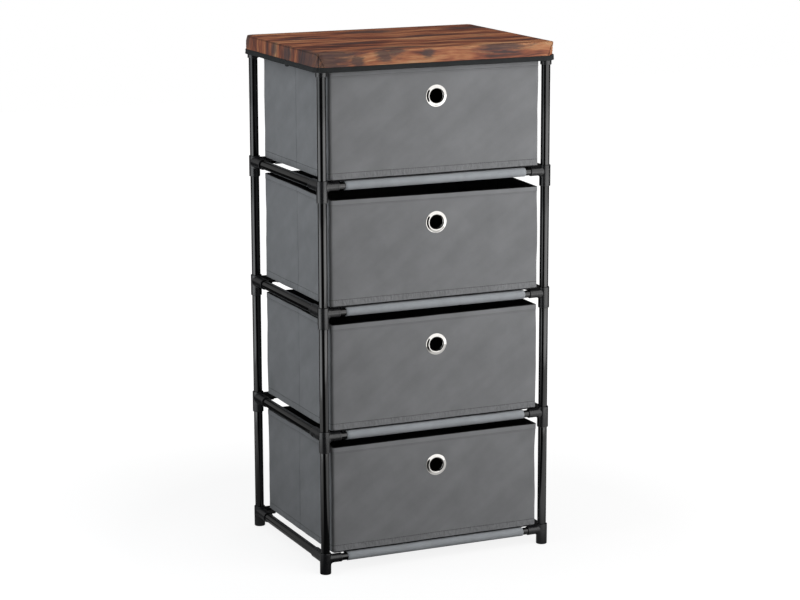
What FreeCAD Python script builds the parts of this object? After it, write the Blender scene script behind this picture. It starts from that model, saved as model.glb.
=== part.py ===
import FreeCAD, Part

import math
import os

import Sketcher
from FreeCAD import Placement, Rotation, Vector

# A tall fabric drawer dresser. Millimetres, +Z up, the front towards -Y. The origin is on the floor,
# in the middle of the frame. Levels count from the floor up (0 at the feet, 4 under the top), drawers
# from the top down.

doc = FreeCAD.newDocument("drawer_dresser")

LEVELS = 5
DRAWERS = 4
CORNERS = [(-1, -1), (1, -1), (-1, 1), (1, 1)]

# ---------------------------------------------------------------- driving dimensions

DIMENSIONS = [
    # the frame
    ("post_pitch_x", 430, "left to right between the post axes"),
    ("post_pitch_y", 322, "front to rear between the post axes"),
    ("level_pitch", 222, "between the axes of one level's rails and the next"),
    ("top_level_drop", 5, "how much lower the top rails lie, as the closed connectors take the posts deeper"),
    ("foot_height", 27, "floor to the lowest rails' axis"),
    ("post_d", 16, "post tube, outside"),
    ("rail_d", 13, "front and rear rail tube, outside"),
    ("side_rail_d", 16, "side rail tube, outside"),
    ("tube_wall", 0.8, "wall of every tube"),
    # the connectors
    ("collar_wall", 1.9, "wall of the collar round the post"),
    ("branch_wall", 1.4, "wall of the branches that hold the rails"),
    ("front_branch_length", 30, "post axis to the branch's mouth"),
    ("side_branch_length", 45, "post axis to the branch's mouth"),
    ("collar_rise", 11, "level axis to the collar's upper mouth"),
    ("collar_drop", 27, "level axis to the collar's lower mouth"),
    ("cap_lip", 0.5, "closed top of a top connector above its widest branch"),
    ("socket_fit", 0.1, "radial clearance of a tube in its socket"),
    ("socket_stop", 1, "plastic left between a rail's end and the collar's outside"),
    ("web_drop", 6, "level axis to the middle of the collar's web"),
    ("web_thickness", 3, "web between the upper and the lower tube"),
    ("rib_radius", 6, "hollow of the rib under each branch"),
    ("rib_root", 2, "rib's stock sunk into the collar and the branch"),
    ("rib_thickness", 6, "rib under each branch"),
    ("foot_round", 1.5, "rounded edge under each foot"),
    # the shelves
    ("shelf_fabric", 0.9, "shelf fabric"),
    ("sleeve_gap", 0.3, "radial looseness of a sleeve on its rail"),
    ("bare_rail", 11, "rail left bare between a branch's mouth and the sleeve"),
    # the drawers
    ("drawer_side_gap", 4, "collar to the drawer's side"),
    ("drawer_proud", 2, "drawer's front ahead of the front posts' axes"),
    ("drawer_rear_gap", 13, "drawer's rear ahead of the rear posts' axes"),
    ("drawer_lift", 0.4, "drawer's underside above the front branches"),
    ("drawer_headroom", 12.9, "drawer's top edge to the sleeve above it"),
    ("drawer_fabric", 0.9, "outer fabric"),
    ("drawer_board", 2, "stiffening board in a wall"),
    ("lining_fabric", 0.5, "lining"),
    ("base_board", 3, "loose board on the drawer's floor"),
    ("base_gap", 1, "base board to the lining, all round"),
    ("fold_gap", 2, "between the halves of a side's board, where the side folds"),
    ("eyelet_drop", 53, "drawer's top edge to the eyelet's centre"),
    ("eyelet_hole_d", 25, "finger hole"),
    ("eyelet_flange", 7.5, "flange from the finger hole to its rim"),
    ("eyelet_metal", 0.6, "sheet the eyelet is stamped from"),
    ("eyelet_edge", 0.3, "flange's edge above the fabric"),
    ("eyelet_rise", 2.1, "crown of the flange above its edge"),
    ("eyelet_fit", 0.2, "radial clearance of the barrel in its hole"),
    ("washer_width", 5.9, "washer's rim beyond the barrel"),
    ("washer_thickness", 0.8, "washer"),
    ("crimp_width", 2.4, "barrel's edge, rolled outwards over the washer"),
    ("crimp_rise", 1.1, "rolled edge above the washer"),
    # the top
    ("top_board", 3, "board under the cover"),
    ("top_board_lip", 0.5, "board's edge beyond the connectors"),
    ("top_board_round", 8, "board's corners"),
    ("cover_fabric", 1, "cover fabric"),
    ("skirt_flare", 2.2, "skirt's lower edge beyond its upper one"),
    ("skirt_clearance", 0.6, "skirt's lower edge above the top drawer"),
    ("binding_height", 10, "binding round the skirt's edge"),
    ("binding_fabric", 0.8, "binding"),
    # the cuts
    ("overcut", 1, "how far a cutting solid runs past the face it cuts"),
]

# What follows from them: each formula uses the driving dimensions and the lines above it.
LAYOUT = [
    ("post_x", "Dims.post_pitch_x / 2"),
    ("post_y", "Dims.post_pitch_y / 2"),
    ("collar_r", "Dims.post_d / 2 + Dims.socket_fit + Dims.collar_wall"),
    ("front_branch_r", "Dims.rail_d / 2 + Dims.socket_fit + Dims.branch_wall"),
    ("side_branch_r", "Dims.side_rail_d / 2 + Dims.socket_fit + Dims.branch_wall"),
    ("cap_rise", "max(front_branch_r; side_branch_r) + Dims.cap_lip"),
    ("sleeve_in", "Dims.rail_d / 2 + Dims.sleeve_gap"),
    ("sleeve_out", "sleeve_in + Dims.shelf_fabric"),
    ("shelf_half", "post_x - Dims.front_branch_length - Dims.bare_rail"),
    ("rail_start", "collar_r + Dims.socket_stop"),
    ("web_top", "Dims.web_thickness / 2 - Dims.web_drop"),
    ("web_bottom", "-Dims.web_thickness / 2 - Dims.web_drop"),
    ("drawer_half", "post_x - max(collar_r; side_branch_r) - Dims.drawer_side_gap"),
    ("drawer_depth", "Dims.post_pitch_y + Dims.drawer_proud - Dims.drawer_rear_gap"),
    ("drawer_front", "-post_y - Dims.drawer_proud"),
    ("drawer_base", "max(front_branch_r; sleeve_out) + Dims.drawer_lift"),
    ("drawer_height", "Dims.level_pitch - sleeve_out - Dims.drawer_headroom - drawer_base"),
    ("wall_in", "Dims.drawer_fabric + Dims.drawer_board"),
    ("lining_in", "wall_in + Dims.lining_fabric"),
    ("board_height", "drawer_height - 2 * Dims.drawer_fabric"),
    ("side_board_length", "(drawer_depth - 2 * wall_in - Dims.fold_gap) / 2"),
    ("eyelet_z", "drawer_height - Dims.eyelet_drop"),
    ("barrel_out", "Dims.eyelet_hole_d / 2 + Dims.eyelet_metal"),
    ("eyelet_seat", "barrel_out + Dims.eyelet_fit"),
    ("washer_r", "barrel_out + Dims.washer_width"),
    ("eyelet_back", "lining_in + Dims.washer_thickness"),
    ("flange_arc_r", "((Dims.eyelet_flange / 2) ^ 2 + Dims.eyelet_rise ^ 2) / (2 * Dims.eyelet_rise)"),
    ("roll_half", "(Dims.eyelet_metal + Dims.crimp_width) / 2"),
    ("roll_arc_r", "(roll_half ^ 2 + Dims.crimp_rise ^ 2) / (2 * Dims.crimp_rise)"),
    ("board_half_x", "post_x + max(collar_r; side_branch_r) + Dims.top_board_lip"),
    ("board_half_y", "post_y + max(collar_r; front_branch_r) + Dims.top_board_lip"),
    ("top_level", f"Dims.foot_height + {LEVELS - 1} * Dims.level_pitch - Dims.top_level_drop"),
    ("top_drawer_z", f"Dims.foot_height + {DRAWERS - 1} * Dims.level_pitch + drawer_base + drawer_height"),
    ("board_base", "top_level + cap_rise"),
    ("top_z", "board_base + Dims.top_board + Dims.cover_fabric"),
    ("skirt_height", "top_z - top_drawer_z - Dims.skirt_clearance"),
    ("cover_round", "Dims.top_board_round + Dims.cover_fabric"),
]


def sheet(name, rows):
    """A spreadsheet with one value a row: column A says what it is, column B holds it under its alias."""
    made = doc.addObject("Spreadsheet::Sheet", name)
    for i, (alias, content, note) in enumerate(rows, start=1):
        made.set(f"A{i}", note)
        made.set(f"B{i}", content)
        made.setAlias(f"B{i}", alias)
    return made


sheet("Dims", [(alias, str(size), note) for alias, size, note in DIMENSIONS])
doc.recompute()
sheet("Layout", [(alias, "=" + formula, alias.replace("_", " ")) for alias, formula in LAYOUT])
doc.recompute()

NAMES = {alias: "Dims" for alias, _, _ in DIMENSIONS}
NAMES.update({alias: "Layout" for alias, _ in LAYOUT})


def value(alias):
    """A number from either sheet."""
    return getattr(doc.getObject(NAMES[alias]), alias)


def evaluate(formula):
    """A number worked out from a formula, where a sketch needs its first geometry."""
    return doc.Dims.evalExpression(formula)


# ---------------------------------------------------------------- ways to make a solid


def bind(obj, **formulas):
    """Bind properties to formulas; x, y and z stand for the placement's base."""
    for prop, formula in formulas.items():
        path = f".Placement.Base.{prop}" if prop in ("x", "y", "z") else prop
        obj.setExpression(path, formula)
    return obj


def turned(obj, axis, degrees):
    """Turn an object about its own base point."""
    obj.Placement = Placement(obj.Placement.Base, Rotation(Vector(*axis), degrees))
    return obj


def box(name, length, width, height, x="0", y="0", z="0"):
    """A box from its low corner."""
    made = doc.addObject("Part::Box", name)
    return bind(made, Length=length, Width=width, Height=height, x=x, y=y, z=z)


def cylinder(name, radius, height, x="0", y="0", z="0", axis=None, degrees=0):
    """A cylinder from the centre of its base, standing on it or turned about a row axis."""
    made = doc.addObject("Part::Cylinder", name)
    if axis:
        turned(made, axis, degrees)
    return bind(made, Radius=radius, Height=height, x=x, y=y, z=z)


def fuse(name, pieces):
    made = doc.addObject("Part::MultiFuse", name)
    made.Shapes = pieces
    return made


def cut(name, base, tool):
    made = doc.addObject("Part::Cut", name)
    made.Base = base
    made.Tool = tool
    return made


def body(name):
    return doc.addObject("PartDesign::Body", name)


def sketch_on(owner, role, name):
    """An empty sketch on one of a body's own origin planes."""
    plane = next(f for f in owner.Origin.OriginFeatures if f.Role == role)
    made = owner.newObject("Sketcher::SketchObject", name)
    made.AttachmentSupport = [(plane, "")]
    made.MapMode = "FlatFace"
    return made


def circle(sketch, radius_formula, x_formula=None, y_formula=None):
    """A circle at the sketch's origin, or at a point bound to formulas."""
    index = sketch.addGeometry(Part.Circle(Vector(1, 1, 0), Vector(0, 0, 1), 5), False)
    for kind, formula, least in (("DistanceX", x_formula, 1), ("DistanceY", y_formula, 1)):
        if formula is None:
            other = "DistanceX" if kind == "DistanceX" else "DistanceY"
            sketch.addConstraint(Sketcher.Constraint(other, -1, 1, index, 3, 0))
        else:
            at = sketch.addConstraint(Sketcher.Constraint(kind, -1, 1, index, 3, least))
            sketch.setExpression(f"Constraints[{at}]", formula)
    at = sketch.addConstraint(Sketcher.Constraint("Radius", index, 5))
    sketch.setExpression(f"Constraints[{at}]", radius_formula)


def rectangle(sketch, half_x, half_y, low_y=None):
    """A rectangle centred on the sketch's origin, or with its low edge at low_y and half_y as its height."""
    corners = [Vector(-5, -4, 0), Vector(5, -4, 0), Vector(5, 4, 0), Vector(-5, 4, 0)]
    lines = [
        sketch.addGeometry(Part.LineSegment(corners[i], corners[(i + 1) % 4]), False) for i in range(4)
    ]
    for i in range(4):
        sketch.addConstraint(Sketcher.Constraint("Coincident", lines[i], 2, lines[(i + 1) % 4], 1))
    for i, kind in ((0, "Horizontal"), (1, "Vertical"), (2, "Horizontal"), (3, "Vertical")):
        sketch.addConstraint(Sketcher.Constraint(kind, lines[i]))
    measures = [
        (Sketcher.Constraint("DistanceX", lines[0], 1, lines[0], 2, 10), f"2 * ({half_x})"),
        (Sketcher.Constraint("DistanceX", -1, 1, lines[0], 2, 5), half_x),
    ]
    if low_y is None:
        measures += [
            (Sketcher.Constraint("DistanceY", lines[1], 1, lines[1], 2, 8), f"2 * ({half_y})"),
            (Sketcher.Constraint("DistanceY", -1, 1, lines[1], 2, 4), half_y),
        ]
    else:
        measures += [
            (Sketcher.Constraint("DistanceY", lines[1], 1, lines[1], 2, 8), half_y),
            (Sketcher.Constraint("DistanceY", -1, 1, lines[1], 2, 4), f"({low_y}) + ({half_y})"),
        ]
    for constraint, formula in measures:
        at = sketch.addConstraint(constraint)
        sketch.setExpression(f"Constraints[{at}]", formula)


def pad(owner, sketch, length, name):
    made = owner.newObject("PartDesign::Pad", name)
    made.Profile = sketch
    made.setExpression("Length", length)
    return made


SUB_PARTS = []


def sub_part(obj, label):
    """Name a finished sub-part after its node."""
    obj.Label = label
    SUB_PARTS.append(obj)
    return obj


def group(label, members):
    """Like pieces that share one node, as separate solids."""
    made = doc.addObject("Part::Compound", label + "_group")
    made.Links = members
    return sub_part(made, label)


def level_z(level):
    """The height of a level's axis."""
    if level == LEVELS - 1:
        return "Layout.top_level"
    return f"Dims.foot_height + {level} * Dims.level_pitch"


# ---------------------------------------------------------------- tubes


def tube(name, diameter, length, x, y, z, axis=None, degrees=0):
    """A round steel tube along its own Z, turned to lie along a row axis where it is a rail."""
    made = body(name)
    ring = sketch_on(made, "XY_Plane", name + "_ring")
    circle(ring, f"{diameter} / 2")
    circle(ring, f"{diameter} / 2 - Dims.tube_wall")
    pad(made, ring, length, name + "_pad")
    if axis:
        turned(made, axis, degrees)
    return bind(made, x=x, y=y, z=z)


def posts():
    """Four storeys of four post tubes. Each stands on the web of one connector, under the web of the next."""
    for tier in range(1, LEVELS):
        tubes = []
        for sx, sy in CORNERS:
            tubes.append(
                tube(
                    f"post_{tier}_{sx + 1}{sy + 1}",
                    "Dims.post_d",
                    "Dims.level_pitch - Dims.web_thickness",
                    x=f"{sx} * Layout.post_x",
                    y=f"{sy} * Layout.post_y",
                    z=f"{level_z(tier - 1)} + Layout.web_top",
                )
            )
        group(f"post_tubes_tier_{tier}", tubes)


def cross_rails():
    """A front and a rear rail at each level, along X, each in the sockets of two connectors."""
    for side, sy in (("front", -1), ("rear", 1)):
        for level in range(LEVELS):
            rail = tube(
                f"{side}_rail_{level + 1}_body",
                "Dims.rail_d",
                "Dims.post_pitch_x - 2 * Layout.rail_start",
                x="Layout.rail_start - Layout.post_x",
                y=f"{sy} * Layout.post_y",
                z=level_z(level),
                axis=(0, 1, 0),
                degrees=90,
            )
            sub_part(rail, f"{side}_rail_{level + 1}")


def side_rails():
    """A rail at each level on either side, along Y."""
    for side, sx in (("left", -1), ("right", 1)):
        rails = []
        for level in range(LEVELS):
            rails.append(
                tube(
                    f"{side}_side_rail_{level + 1}",
                    "Dims.side_rail_d",
                    "Dims.post_pitch_y - 2 * Layout.rail_start",
                    x=f"{sx} * Layout.post_x",
                    y="Layout.rail_start - Layout.post_y",
                    z=level_z(level),
                    axis=(1, 0, 0),
                    degrees=-90,
                )
            )
        group(f"{side}_side_rails", rails)


# ---------------------------------------------------------------- connectors


def rib(name, sx, sy, along_x, z):
    """The moulded rib in the corner under a branch: a square block with a round hollow cut from it."""
    span = "(Dims.rib_radius + Dims.rib_root)"
    reach = "(Layout.collar_r + Dims.rib_radius)"
    post_x, post_y = f"{sx} * Layout.post_x", f"{sy} * Layout.post_y"
    if along_x:
        low = f"{z} - Layout.front_branch_r - Dims.rib_radius"
        start = f"{post_x} - {reach}" if sx > 0 else f"{post_x} + {reach} - {span}"
        block = box(
            name + "_block", span, "Dims.rib_thickness", span,
            x=start, y=f"{post_y} - Dims.rib_thickness / 2", z=low,
        )
        hollow = cylinder(
            name + "_hollow", "Dims.rib_radius", "2 * Dims.rib_thickness",
            x=f"{post_x} - {sx} * {reach}", y=f"{post_y} + Dims.rib_thickness",
            z=low, axis=(1, 0, 0), degrees=90,
        )
    else:
        low = f"{z} - Layout.side_branch_r - Dims.rib_radius"
        start = f"{post_y} - {reach}" if sy > 0 else f"{post_y} + {reach} - {span}"
        block = box(
            name + "_block", "Dims.rib_thickness", span, span,
            x=f"{post_x} - Dims.rib_thickness / 2", y=start, z=low,
        )
        hollow = cylinder(
            name + "_hollow", "Dims.rib_radius", "2 * Dims.rib_thickness",
            x=f"{post_x} - Dims.rib_thickness", y=f"{post_y} - {sy} * {reach}",
            z=low, axis=(0, 1, 0), degrees=90,
        )
    return cut(name, block, hollow)


def connector(name, sx, sy, level):
    """A corner connector: a collar round the post, a branch to the front or rear rail, one to the side rail.

    The lowest ones end in a closed foot, and the top ones are closed above.
    """
    at_x = f"{sx} * Layout.post_x"
    at_y = f"{sy} * Layout.post_y"
    z = f"({level_z(level)})"
    foot = level == 0
    cap = level == LEVELS - 1
    drop = "Dims.foot_height" if foot else "Dims.collar_drop"
    rise = "Layout.cap_rise" if cap else "Dims.collar_rise"

    collar = cylinder(
        name + "_collar", "Layout.collar_r", f"{drop} + {rise}", x=at_x, y=at_y, z=f"{z} - {drop}"
    )
    if foot:
        doc.recompute()
        rounded = doc.addObject("Part::Fillet", name + "_rounded")
        rounded.Base = collar
        edges = collar.Shape.Edges
        lowest = min(range(len(edges)), key=lambda i: edges[i].CenterOfMass.z)
        rounded.Edges = [(lowest + 1, value("foot_round"), value("foot_round"))]
        collar = rounded
    front = cylinder(
        name + "_front_branch", "Layout.front_branch_r", "Dims.front_branch_length",
        x=at_x, y=at_y, z=z, axis=(0, 1, 0), degrees=-90 * sx,
    )
    side = cylinder(
        name + "_side_branch", "Layout.side_branch_r", "Dims.side_branch_length",
        x=at_x, y=at_y, z=z, axis=(1, 0, 0), degrees=90 * sy,
    )
    ribs = [rib(name + "_rib_x", sx, sy, True, z), rib(name + "_rib_y", sx, sy, False, z)]
    solid = fuse(name + "_solid", [collar, front, side] + ribs)

    sockets = [
        cylinder(
            name + "_front_socket", "Dims.rail_d / 2 + Dims.socket_fit", "Dims.front_branch_length",
            x=f"{at_x} - {sx} * Layout.rail_start", y=at_y, z=z, axis=(0, 1, 0), degrees=-90 * sx,
        ),
        cylinder(
            name + "_side_socket", "Dims.side_rail_d / 2 + Dims.socket_fit", "Dims.side_branch_length",
            x=at_x, y=f"{at_y} - {sy} * Layout.rail_start", z=z, axis=(1, 0, 0), degrees=90 * sy,
        ),
    ]
    if not cap:
        sockets.append(
            cylinder(
                name + "_upper_socket", "Dims.post_d / 2 + Dims.socket_fit", f"{rise} - Layout.web_top",
                x=at_x, y=at_y, z=f"{z} + Layout.web_top",
            )
        )
    if not foot:
        depth = f"{drop} + Layout.web_bottom" + (" + Dims.top_level_drop" if cap else "")
        sockets.append(
            cylinder(
                name + "_lower_socket", "Dims.post_d / 2 + Dims.socket_fit", depth,
                x=at_x, y=at_y, z=f"{z} - {drop}",
            )
        )
    return cut(name, solid, fuse(name + "_sockets", sockets))


def connectors():
    """Four connectors at each of the five levels."""
    between = [f"connectors_level_{level}" for level in range(1, LEVELS - 1)]
    for level, label in enumerate(["foot_connectors"] + between + ["top_connectors"]):
        name = f"connector_{level}"
        group(label, [connector(f"{name}_{sx + 1}{sy + 1}", sx, sy, level) for sx, sy in CORNERS])


# ---------------------------------------------------------------- shelves


def shelves():
    """Four fabric shelves: a flat sheet that runs off the top of two sleeves, one round each cross rail."""
    for level in range(DRAWERS):
        name = f"shelf_{level + 1}"
        z = level_z(level)
        width = "2 * Layout.shelf_half"
        flat = box(
            name + "_flat", width, "Dims.post_pitch_y", "Dims.shelf_fabric",
            x="-Layout.shelf_half", y="-Layout.post_y", z=f"{z} + Layout.sleeve_in",
        )
        sleeves = []
        rooms = []
        for side, sy in (("front", -1), ("rear", 1)):
            y = f"{sy} * Layout.post_y"
            sleeves.append(
                cylinder(
                    f"{name}_{side}_sleeve", "Layout.sleeve_out", width,
                    x="-Layout.shelf_half", y=y, z=z, axis=(0, 1, 0), degrees=90,
                )
            )
            rooms.append(
                cylinder(
                    f"{name}_{side}_room", "Layout.sleeve_in", width,
                    x="-Layout.shelf_half", y=y, z=z, axis=(0, 1, 0), degrees=90,
                )
            )
        cloth = fuse(name + "_cloth", [flat] + sleeves)
        sub_part(cut(name + "_body", cloth, fuse(name + "_rooms", rooms)), name)


# ---------------------------------------------------------------- drawers


def eyelet_hole(owner, name):
    """The round hole for the eyelet's barrel, through a body's front wall."""
    ring = sketch_on(owner, "XZ_Plane", name + "_hole")
    circle(ring, "Layout.eyelet_seat", None, "Layout.eyelet_z")
    made = owner.newObject("PartDesign::Pocket", name + "_hole_pocket")
    made.Profile = ring
    made.setExpression("Length", "Layout.lining_in + Dims.overcut")
    return made


def pocket_box(owner, name, half_x, front, depth, floor, height):
    """Take a box out of a body: half_x either side, from front for depth, from floor for height."""
    made = owner.newObject("PartDesign::SubtractiveBox", name)
    made.setExpression("Length", f"2 * ({half_x})")
    made.setExpression("Width", depth)
    made.setExpression("Height", height)
    made.setExpression(".Placement.Base.x", f"-({half_x})")
    made.setExpression(".Placement.Base.y", front)
    made.setExpression(".Placement.Base.z", floor)
    return made


def tub(name, inset, height, floor):
    """A solid block, inset from the drawer's outside all round, that a drawer's shells are hollowed from.

    A drawer's bodies all start at the front face, in its middle, on its underside.
    """
    made = body(name)
    plan = sketch_on(made, "XY_Plane", name + "_plan")
    rectangle(plan, f"Layout.drawer_half - {inset}", f"Layout.drawer_depth - 2 * {inset}", low_y=inset)
    pad(made, plan, height, name + "_block")
    plan.setExpression(".AttachmentOffset.Base.z", floor)
    return made


def place_in_bay(obj, number):
    """Put a drawer's body where it stands, on the shelf of its own level."""
    level = DRAWERS - number
    return bind(obj, y="Layout.drawer_front", z=f"{level_z(level)} + Layout.drawer_base")


def drawer_outer(number):
    """The grey fabric outside: a box with no lid whose top hem turns in over the boards."""
    name = f"drawer_{number}_outer"
    made = tub(name + "_body", "0", "Layout.drawer_height", "0")
    pocket_box(
        made, name + "_walls", "Layout.drawer_half - Dims.drawer_fabric", "Dims.drawer_fabric",
        "Layout.drawer_depth - 2 * Dims.drawer_fabric", "Dims.drawer_fabric", "Layout.board_height",
    )
    pocket_box(
        made, name + "_mouth", "Layout.drawer_half - Layout.wall_in", "Layout.wall_in",
        "Layout.drawer_depth - 2 * Layout.wall_in", "Dims.drawer_fabric", "Layout.drawer_height",
    )
    made.Tip = eyelet_hole(made, name)
    sub_part(place_in_bay(made, number), name)


def drawer_lining(number):
    """The black lining: a thinner box inside the boards, up to the hem."""
    name = f"drawer_{number}_lining"
    made = tub(
        name + "_body", "Layout.wall_in", "Layout.drawer_height - Dims.drawer_fabric", "Dims.drawer_fabric"
    )
    pocket_box(
        made, name + "_room", "Layout.drawer_half - Layout.lining_in", "Layout.lining_in",
        "Layout.drawer_depth - 2 * Layout.lining_in", "Dims.drawer_fabric + Dims.lining_fabric",
        "Layout.drawer_height",
    )
    made.Tip = eyelet_hole(made, name)
    sub_part(place_in_bay(made, number), name)


def wall_board(name, low_x, length, low_y, width):
    """An upright board between the outer fabric and the lining."""
    made = body(name)
    block = made.newObject("PartDesign::AdditiveBox", name + "_board")
    block.setExpression("Length", length)
    block.setExpression("Width", width)
    block.setExpression("Height", "Layout.board_height")
    block.setExpression(".Placement.Base.x", low_x)
    block.setExpression(".Placement.Base.y", low_y)
    block.setExpression(".Placement.Base.z", "Dims.drawer_fabric")
    return made


def drawer_boards(number):
    """The boards in the walls, as wide as the drawer in front and rear, and two halves in each side."""
    name = f"drawer_{number}"
    wide = "2 * (Layout.drawer_half - Dims.drawer_fabric)"
    left = "Dims.drawer_fabric - Layout.drawer_half"
    right = "Layout.drawer_half - Layout.wall_in"
    front = wall_board(f"{name}_front_board_body", left, wide, "Dims.drawer_fabric", "Dims.drawer_board")
    front.Tip = eyelet_hole(front, f"{name}_front_board")
    sub_part(place_in_bay(front, number), f"{name}_front_board")

    rear_y = "Layout.drawer_depth - Layout.wall_in"
    rear = wall_board(f"{name}_rear_board_body", left, wide, rear_y, "Dims.drawer_board")
    sub_part(place_in_bay(rear, number), f"{name}_rear_board")

    halves = []
    long = "Layout.side_board_length"
    lows = {"front": "Layout.wall_in", "rear": f"Layout.wall_in + {long} + Dims.fold_gap"}
    for side, low_x in (("left", left), ("right", right)):
        for half, low_y in lows.items():
            board = wall_board(f"{name}_{side}_{half}_board", low_x, "Dims.drawer_board", low_y, long)
            halves.append(place_in_bay(board, number))
    group(f"{name}_side_boards", halves)


def drawer_base(number):
    """The loose board that keeps the floor flat."""
    name = f"drawer_{number}_base_board"
    inset = "(Layout.lining_in + Dims.base_gap)"
    made = tub(name + "_body", inset, "Dims.base_board", "Dims.drawer_fabric + Dims.lining_fabric")
    sub_part(place_in_bay(made, number), name)


def arc_over(sketch, start, end, rise, radius_formula):
    """An arc between two points at one depth, drawn anticlockwise, that rises beyond them by rise."""
    half = abs(end[0] - start[0]) / 2
    radius = (half**2 + rise**2) / (2 * rise)
    out = 1 if end[0] < start[0] else -1
    centre = Vector((start[0] + end[0]) / 2, start[1] + out * (rise - radius), 0)
    first = math.atan2(start[1] - centre.y, start[0] - centre.x)
    last = math.atan2(end[1] - centre.y, end[0] - centre.x)
    whole = Part.Circle(centre, Vector(0, 0, 1), radius)
    index = sketch.addGeometry(Part.ArcOfCircle(whole, first, last), False)
    at = sketch.addConstraint(Sketcher.Constraint("Radius", index, radius))
    sketch.setExpression(f"Constraints[{at}]", radius_formula)


def drawer_eyelet(number):
    """The eyelet: a crowned flange on the fabric, a barrel through the wall, an edge rolled over the washer.

    The half section has X as the radius and Y as the depth into the drawer, and is turned round Y. It runs
    from the flange's edge over the crown to the hole, through it, over the roll, and back outside the barrel.
    """
    name = f"drawer_{number}_eyelet"
    hole = "Dims.eyelet_hole_d / 2"
    rim = f"{hole} + Dims.eyelet_flange"
    roll = "Layout.barrel_out + Dims.crimp_width"
    outline = [
        (hole, "-Dims.eyelet_edge"),
        (rim, "-Dims.eyelet_edge"),
        (rim, "0"),
        ("Layout.barrel_out", "0"),
        ("Layout.barrel_out", "Layout.eyelet_back"),
        (roll, "Layout.eyelet_back"),
        (hole, "Layout.eyelet_back"),
    ]
    made = body(name + "_body")
    section = sketch_on(made, "XY_Plane", name + "_section")
    at = [Vector(evaluate(x), evaluate(y), 0) for x, y in outline]
    for i, start in enumerate(at):
        end = at[(i + 1) % len(at)]
        if i == 0:
            arc_over(section, start, end, value("eyelet_rise"), "Layout.flange_arc_r")
        elif i == len(at) - 2:
            arc_over(section, start, end, value("crimp_rise"), "Layout.roll_arc_r")
        else:
            section.addGeometry(Part.LineSegment(start, end), False)
    for i, (x, y) in enumerate(outline):
        section.addConstraint(Sketcher.Constraint("Coincident", i, 2, (i + 1) % len(at), 1))
        for kind, formula in (("DistanceX", x), ("DistanceY", y)):
            if formula == "0":
                section.addConstraint(Sketcher.Constraint("PointOnObject", i, 1, -1))
            else:
                bound = section.addConstraint(Sketcher.Constraint(kind, -1, 1, i, 1, evaluate(formula)))
                section.setExpression(f"Constraints[{bound}]", formula)
    turned_section = made.newObject("PartDesign::Revolution", name + "_turned")
    turned_section.Profile = section
    turned_section.ReferenceAxis = (section, ["V_Axis"])
    turned_section.Angle = 360
    level = DRAWERS - number
    bind(made, y="Layout.drawer_front", z=f"{level_z(level)} + Layout.drawer_base + Layout.eyelet_z")
    sub_part(made, name)


def drawer_washer(number):
    """The flat washer behind the lining, held by the eyelet's rolled edge."""
    name = f"drawer_{number}_eyelet_washer"
    made = body(name + "_body")
    ring = sketch_on(made, "XZ_Plane", name + "_ring")
    circle(ring, "Layout.washer_r", None, "Layout.eyelet_z")
    circle(ring, "Layout.eyelet_seat", None, "Layout.eyelet_z")
    disc = pad(made, ring, "Dims.washer_thickness", name + "_disc")
    disc.Reversed = True
    ring.setExpression(".AttachmentOffset.Base.z", "-Layout.lining_in")
    sub_part(place_in_bay(made, number), name)


def drawers():
    for number in range(1, DRAWERS + 1):
        drawer_outer(number)
        drawer_lining(number)
        drawer_boards(number)
        drawer_base(number)
        drawer_eyelet(number)
        drawer_washer(number)


# ---------------------------------------------------------------- top


def upright_edges(feature):
    """The names of a block's edges that stand upright, or nearly so where the block flares."""
    upright = 0.9
    edges = enumerate(feature.Shape.Edges, start=1)
    return [f"Edge{i}" for i, edge in edges if abs(edge.tangentAt(edge.FirstParameter).z) > upright]


def top_board():
    """The board on the top connectors, with rounded corners."""
    made = body("top_board_body")
    plan = sketch_on(made, "XY_Plane", "top_board_plan")
    rectangle(plan, "Layout.board_half_x", "Layout.board_half_y")
    slab = pad(made, plan, "Dims.top_board", "top_board_slab")
    doc.recompute()
    rounded = made.newObject("PartDesign::Fillet", "top_board_corners")
    rounded.Base = (slab, upright_edges(slab))
    rounded.setExpression("Radius", "Dims.top_board_round")
    made.Tip = rounded
    sub_part(bind(made, z="Layout.board_base"), "top_board")


def flared_block(name, grow, drop, height):
    """A block with round corners that widens downwards as the skirt does.

    It is the cover's outside grown by grow all round, with its top drop below the cover's top.
    """
    made = body(name)
    plan = sketch_on(made, "XY_Plane", name + "_plan")
    spread = f"{grow} + Dims.cover_fabric + {drop} * Dims.skirt_flare / Layout.skirt_height"
    rectangle(plan, f"Layout.board_half_x + {spread}", f"Layout.board_half_y + {spread}")
    block = pad(made, plan, height, name + "_block")
    block.Reversed = True
    block.setExpression("TaperAngle", "atan(Dims.skirt_flare / Layout.skirt_height)")
    doc.recompute()
    rounded = made.newObject("PartDesign::Fillet", name + "_corners")
    rounded.Base = (block, upright_edges(block))
    rounded.setExpression("Radius", f"Layout.cover_round + {grow}")
    made.Tip = rounded
    return bind(made, z=f"Layout.top_z - {drop}")


def top_cover():
    """The fitted fabric cover over the board, and the binding folded round its skirt's edge."""
    cloth_height = "Layout.skirt_height - Dims.binding_fabric"
    outside = flared_block("cover_outside", "0", "0", cloth_height)
    inside = flared_block("cover_inside", "-Dims.cover_fabric", "Dims.cover_fabric", "Layout.skirt_height")
    cover = cut("cover_cloth", outside, inside)
    sub_part(cover, "top_cover")

    drop = "(Layout.skirt_height - Dims.binding_height)"
    tape_outside = flared_block("binding_outside", "Dims.binding_fabric", drop, "Dims.binding_height")
    tape_inside = flared_block(
        "binding_inside", "-(Dims.cover_fabric + Dims.binding_fabric)",
        f"({drop} - Dims.overcut)", "Dims.binding_height + 2 * Dims.overcut",
    )
    tape = cut("binding_band", tape_outside, tape_inside)
    sub_part(cut("binding_body", tape, cover), "top_binding")


# ---------------------------------------------------------------- the whole dresser

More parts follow.
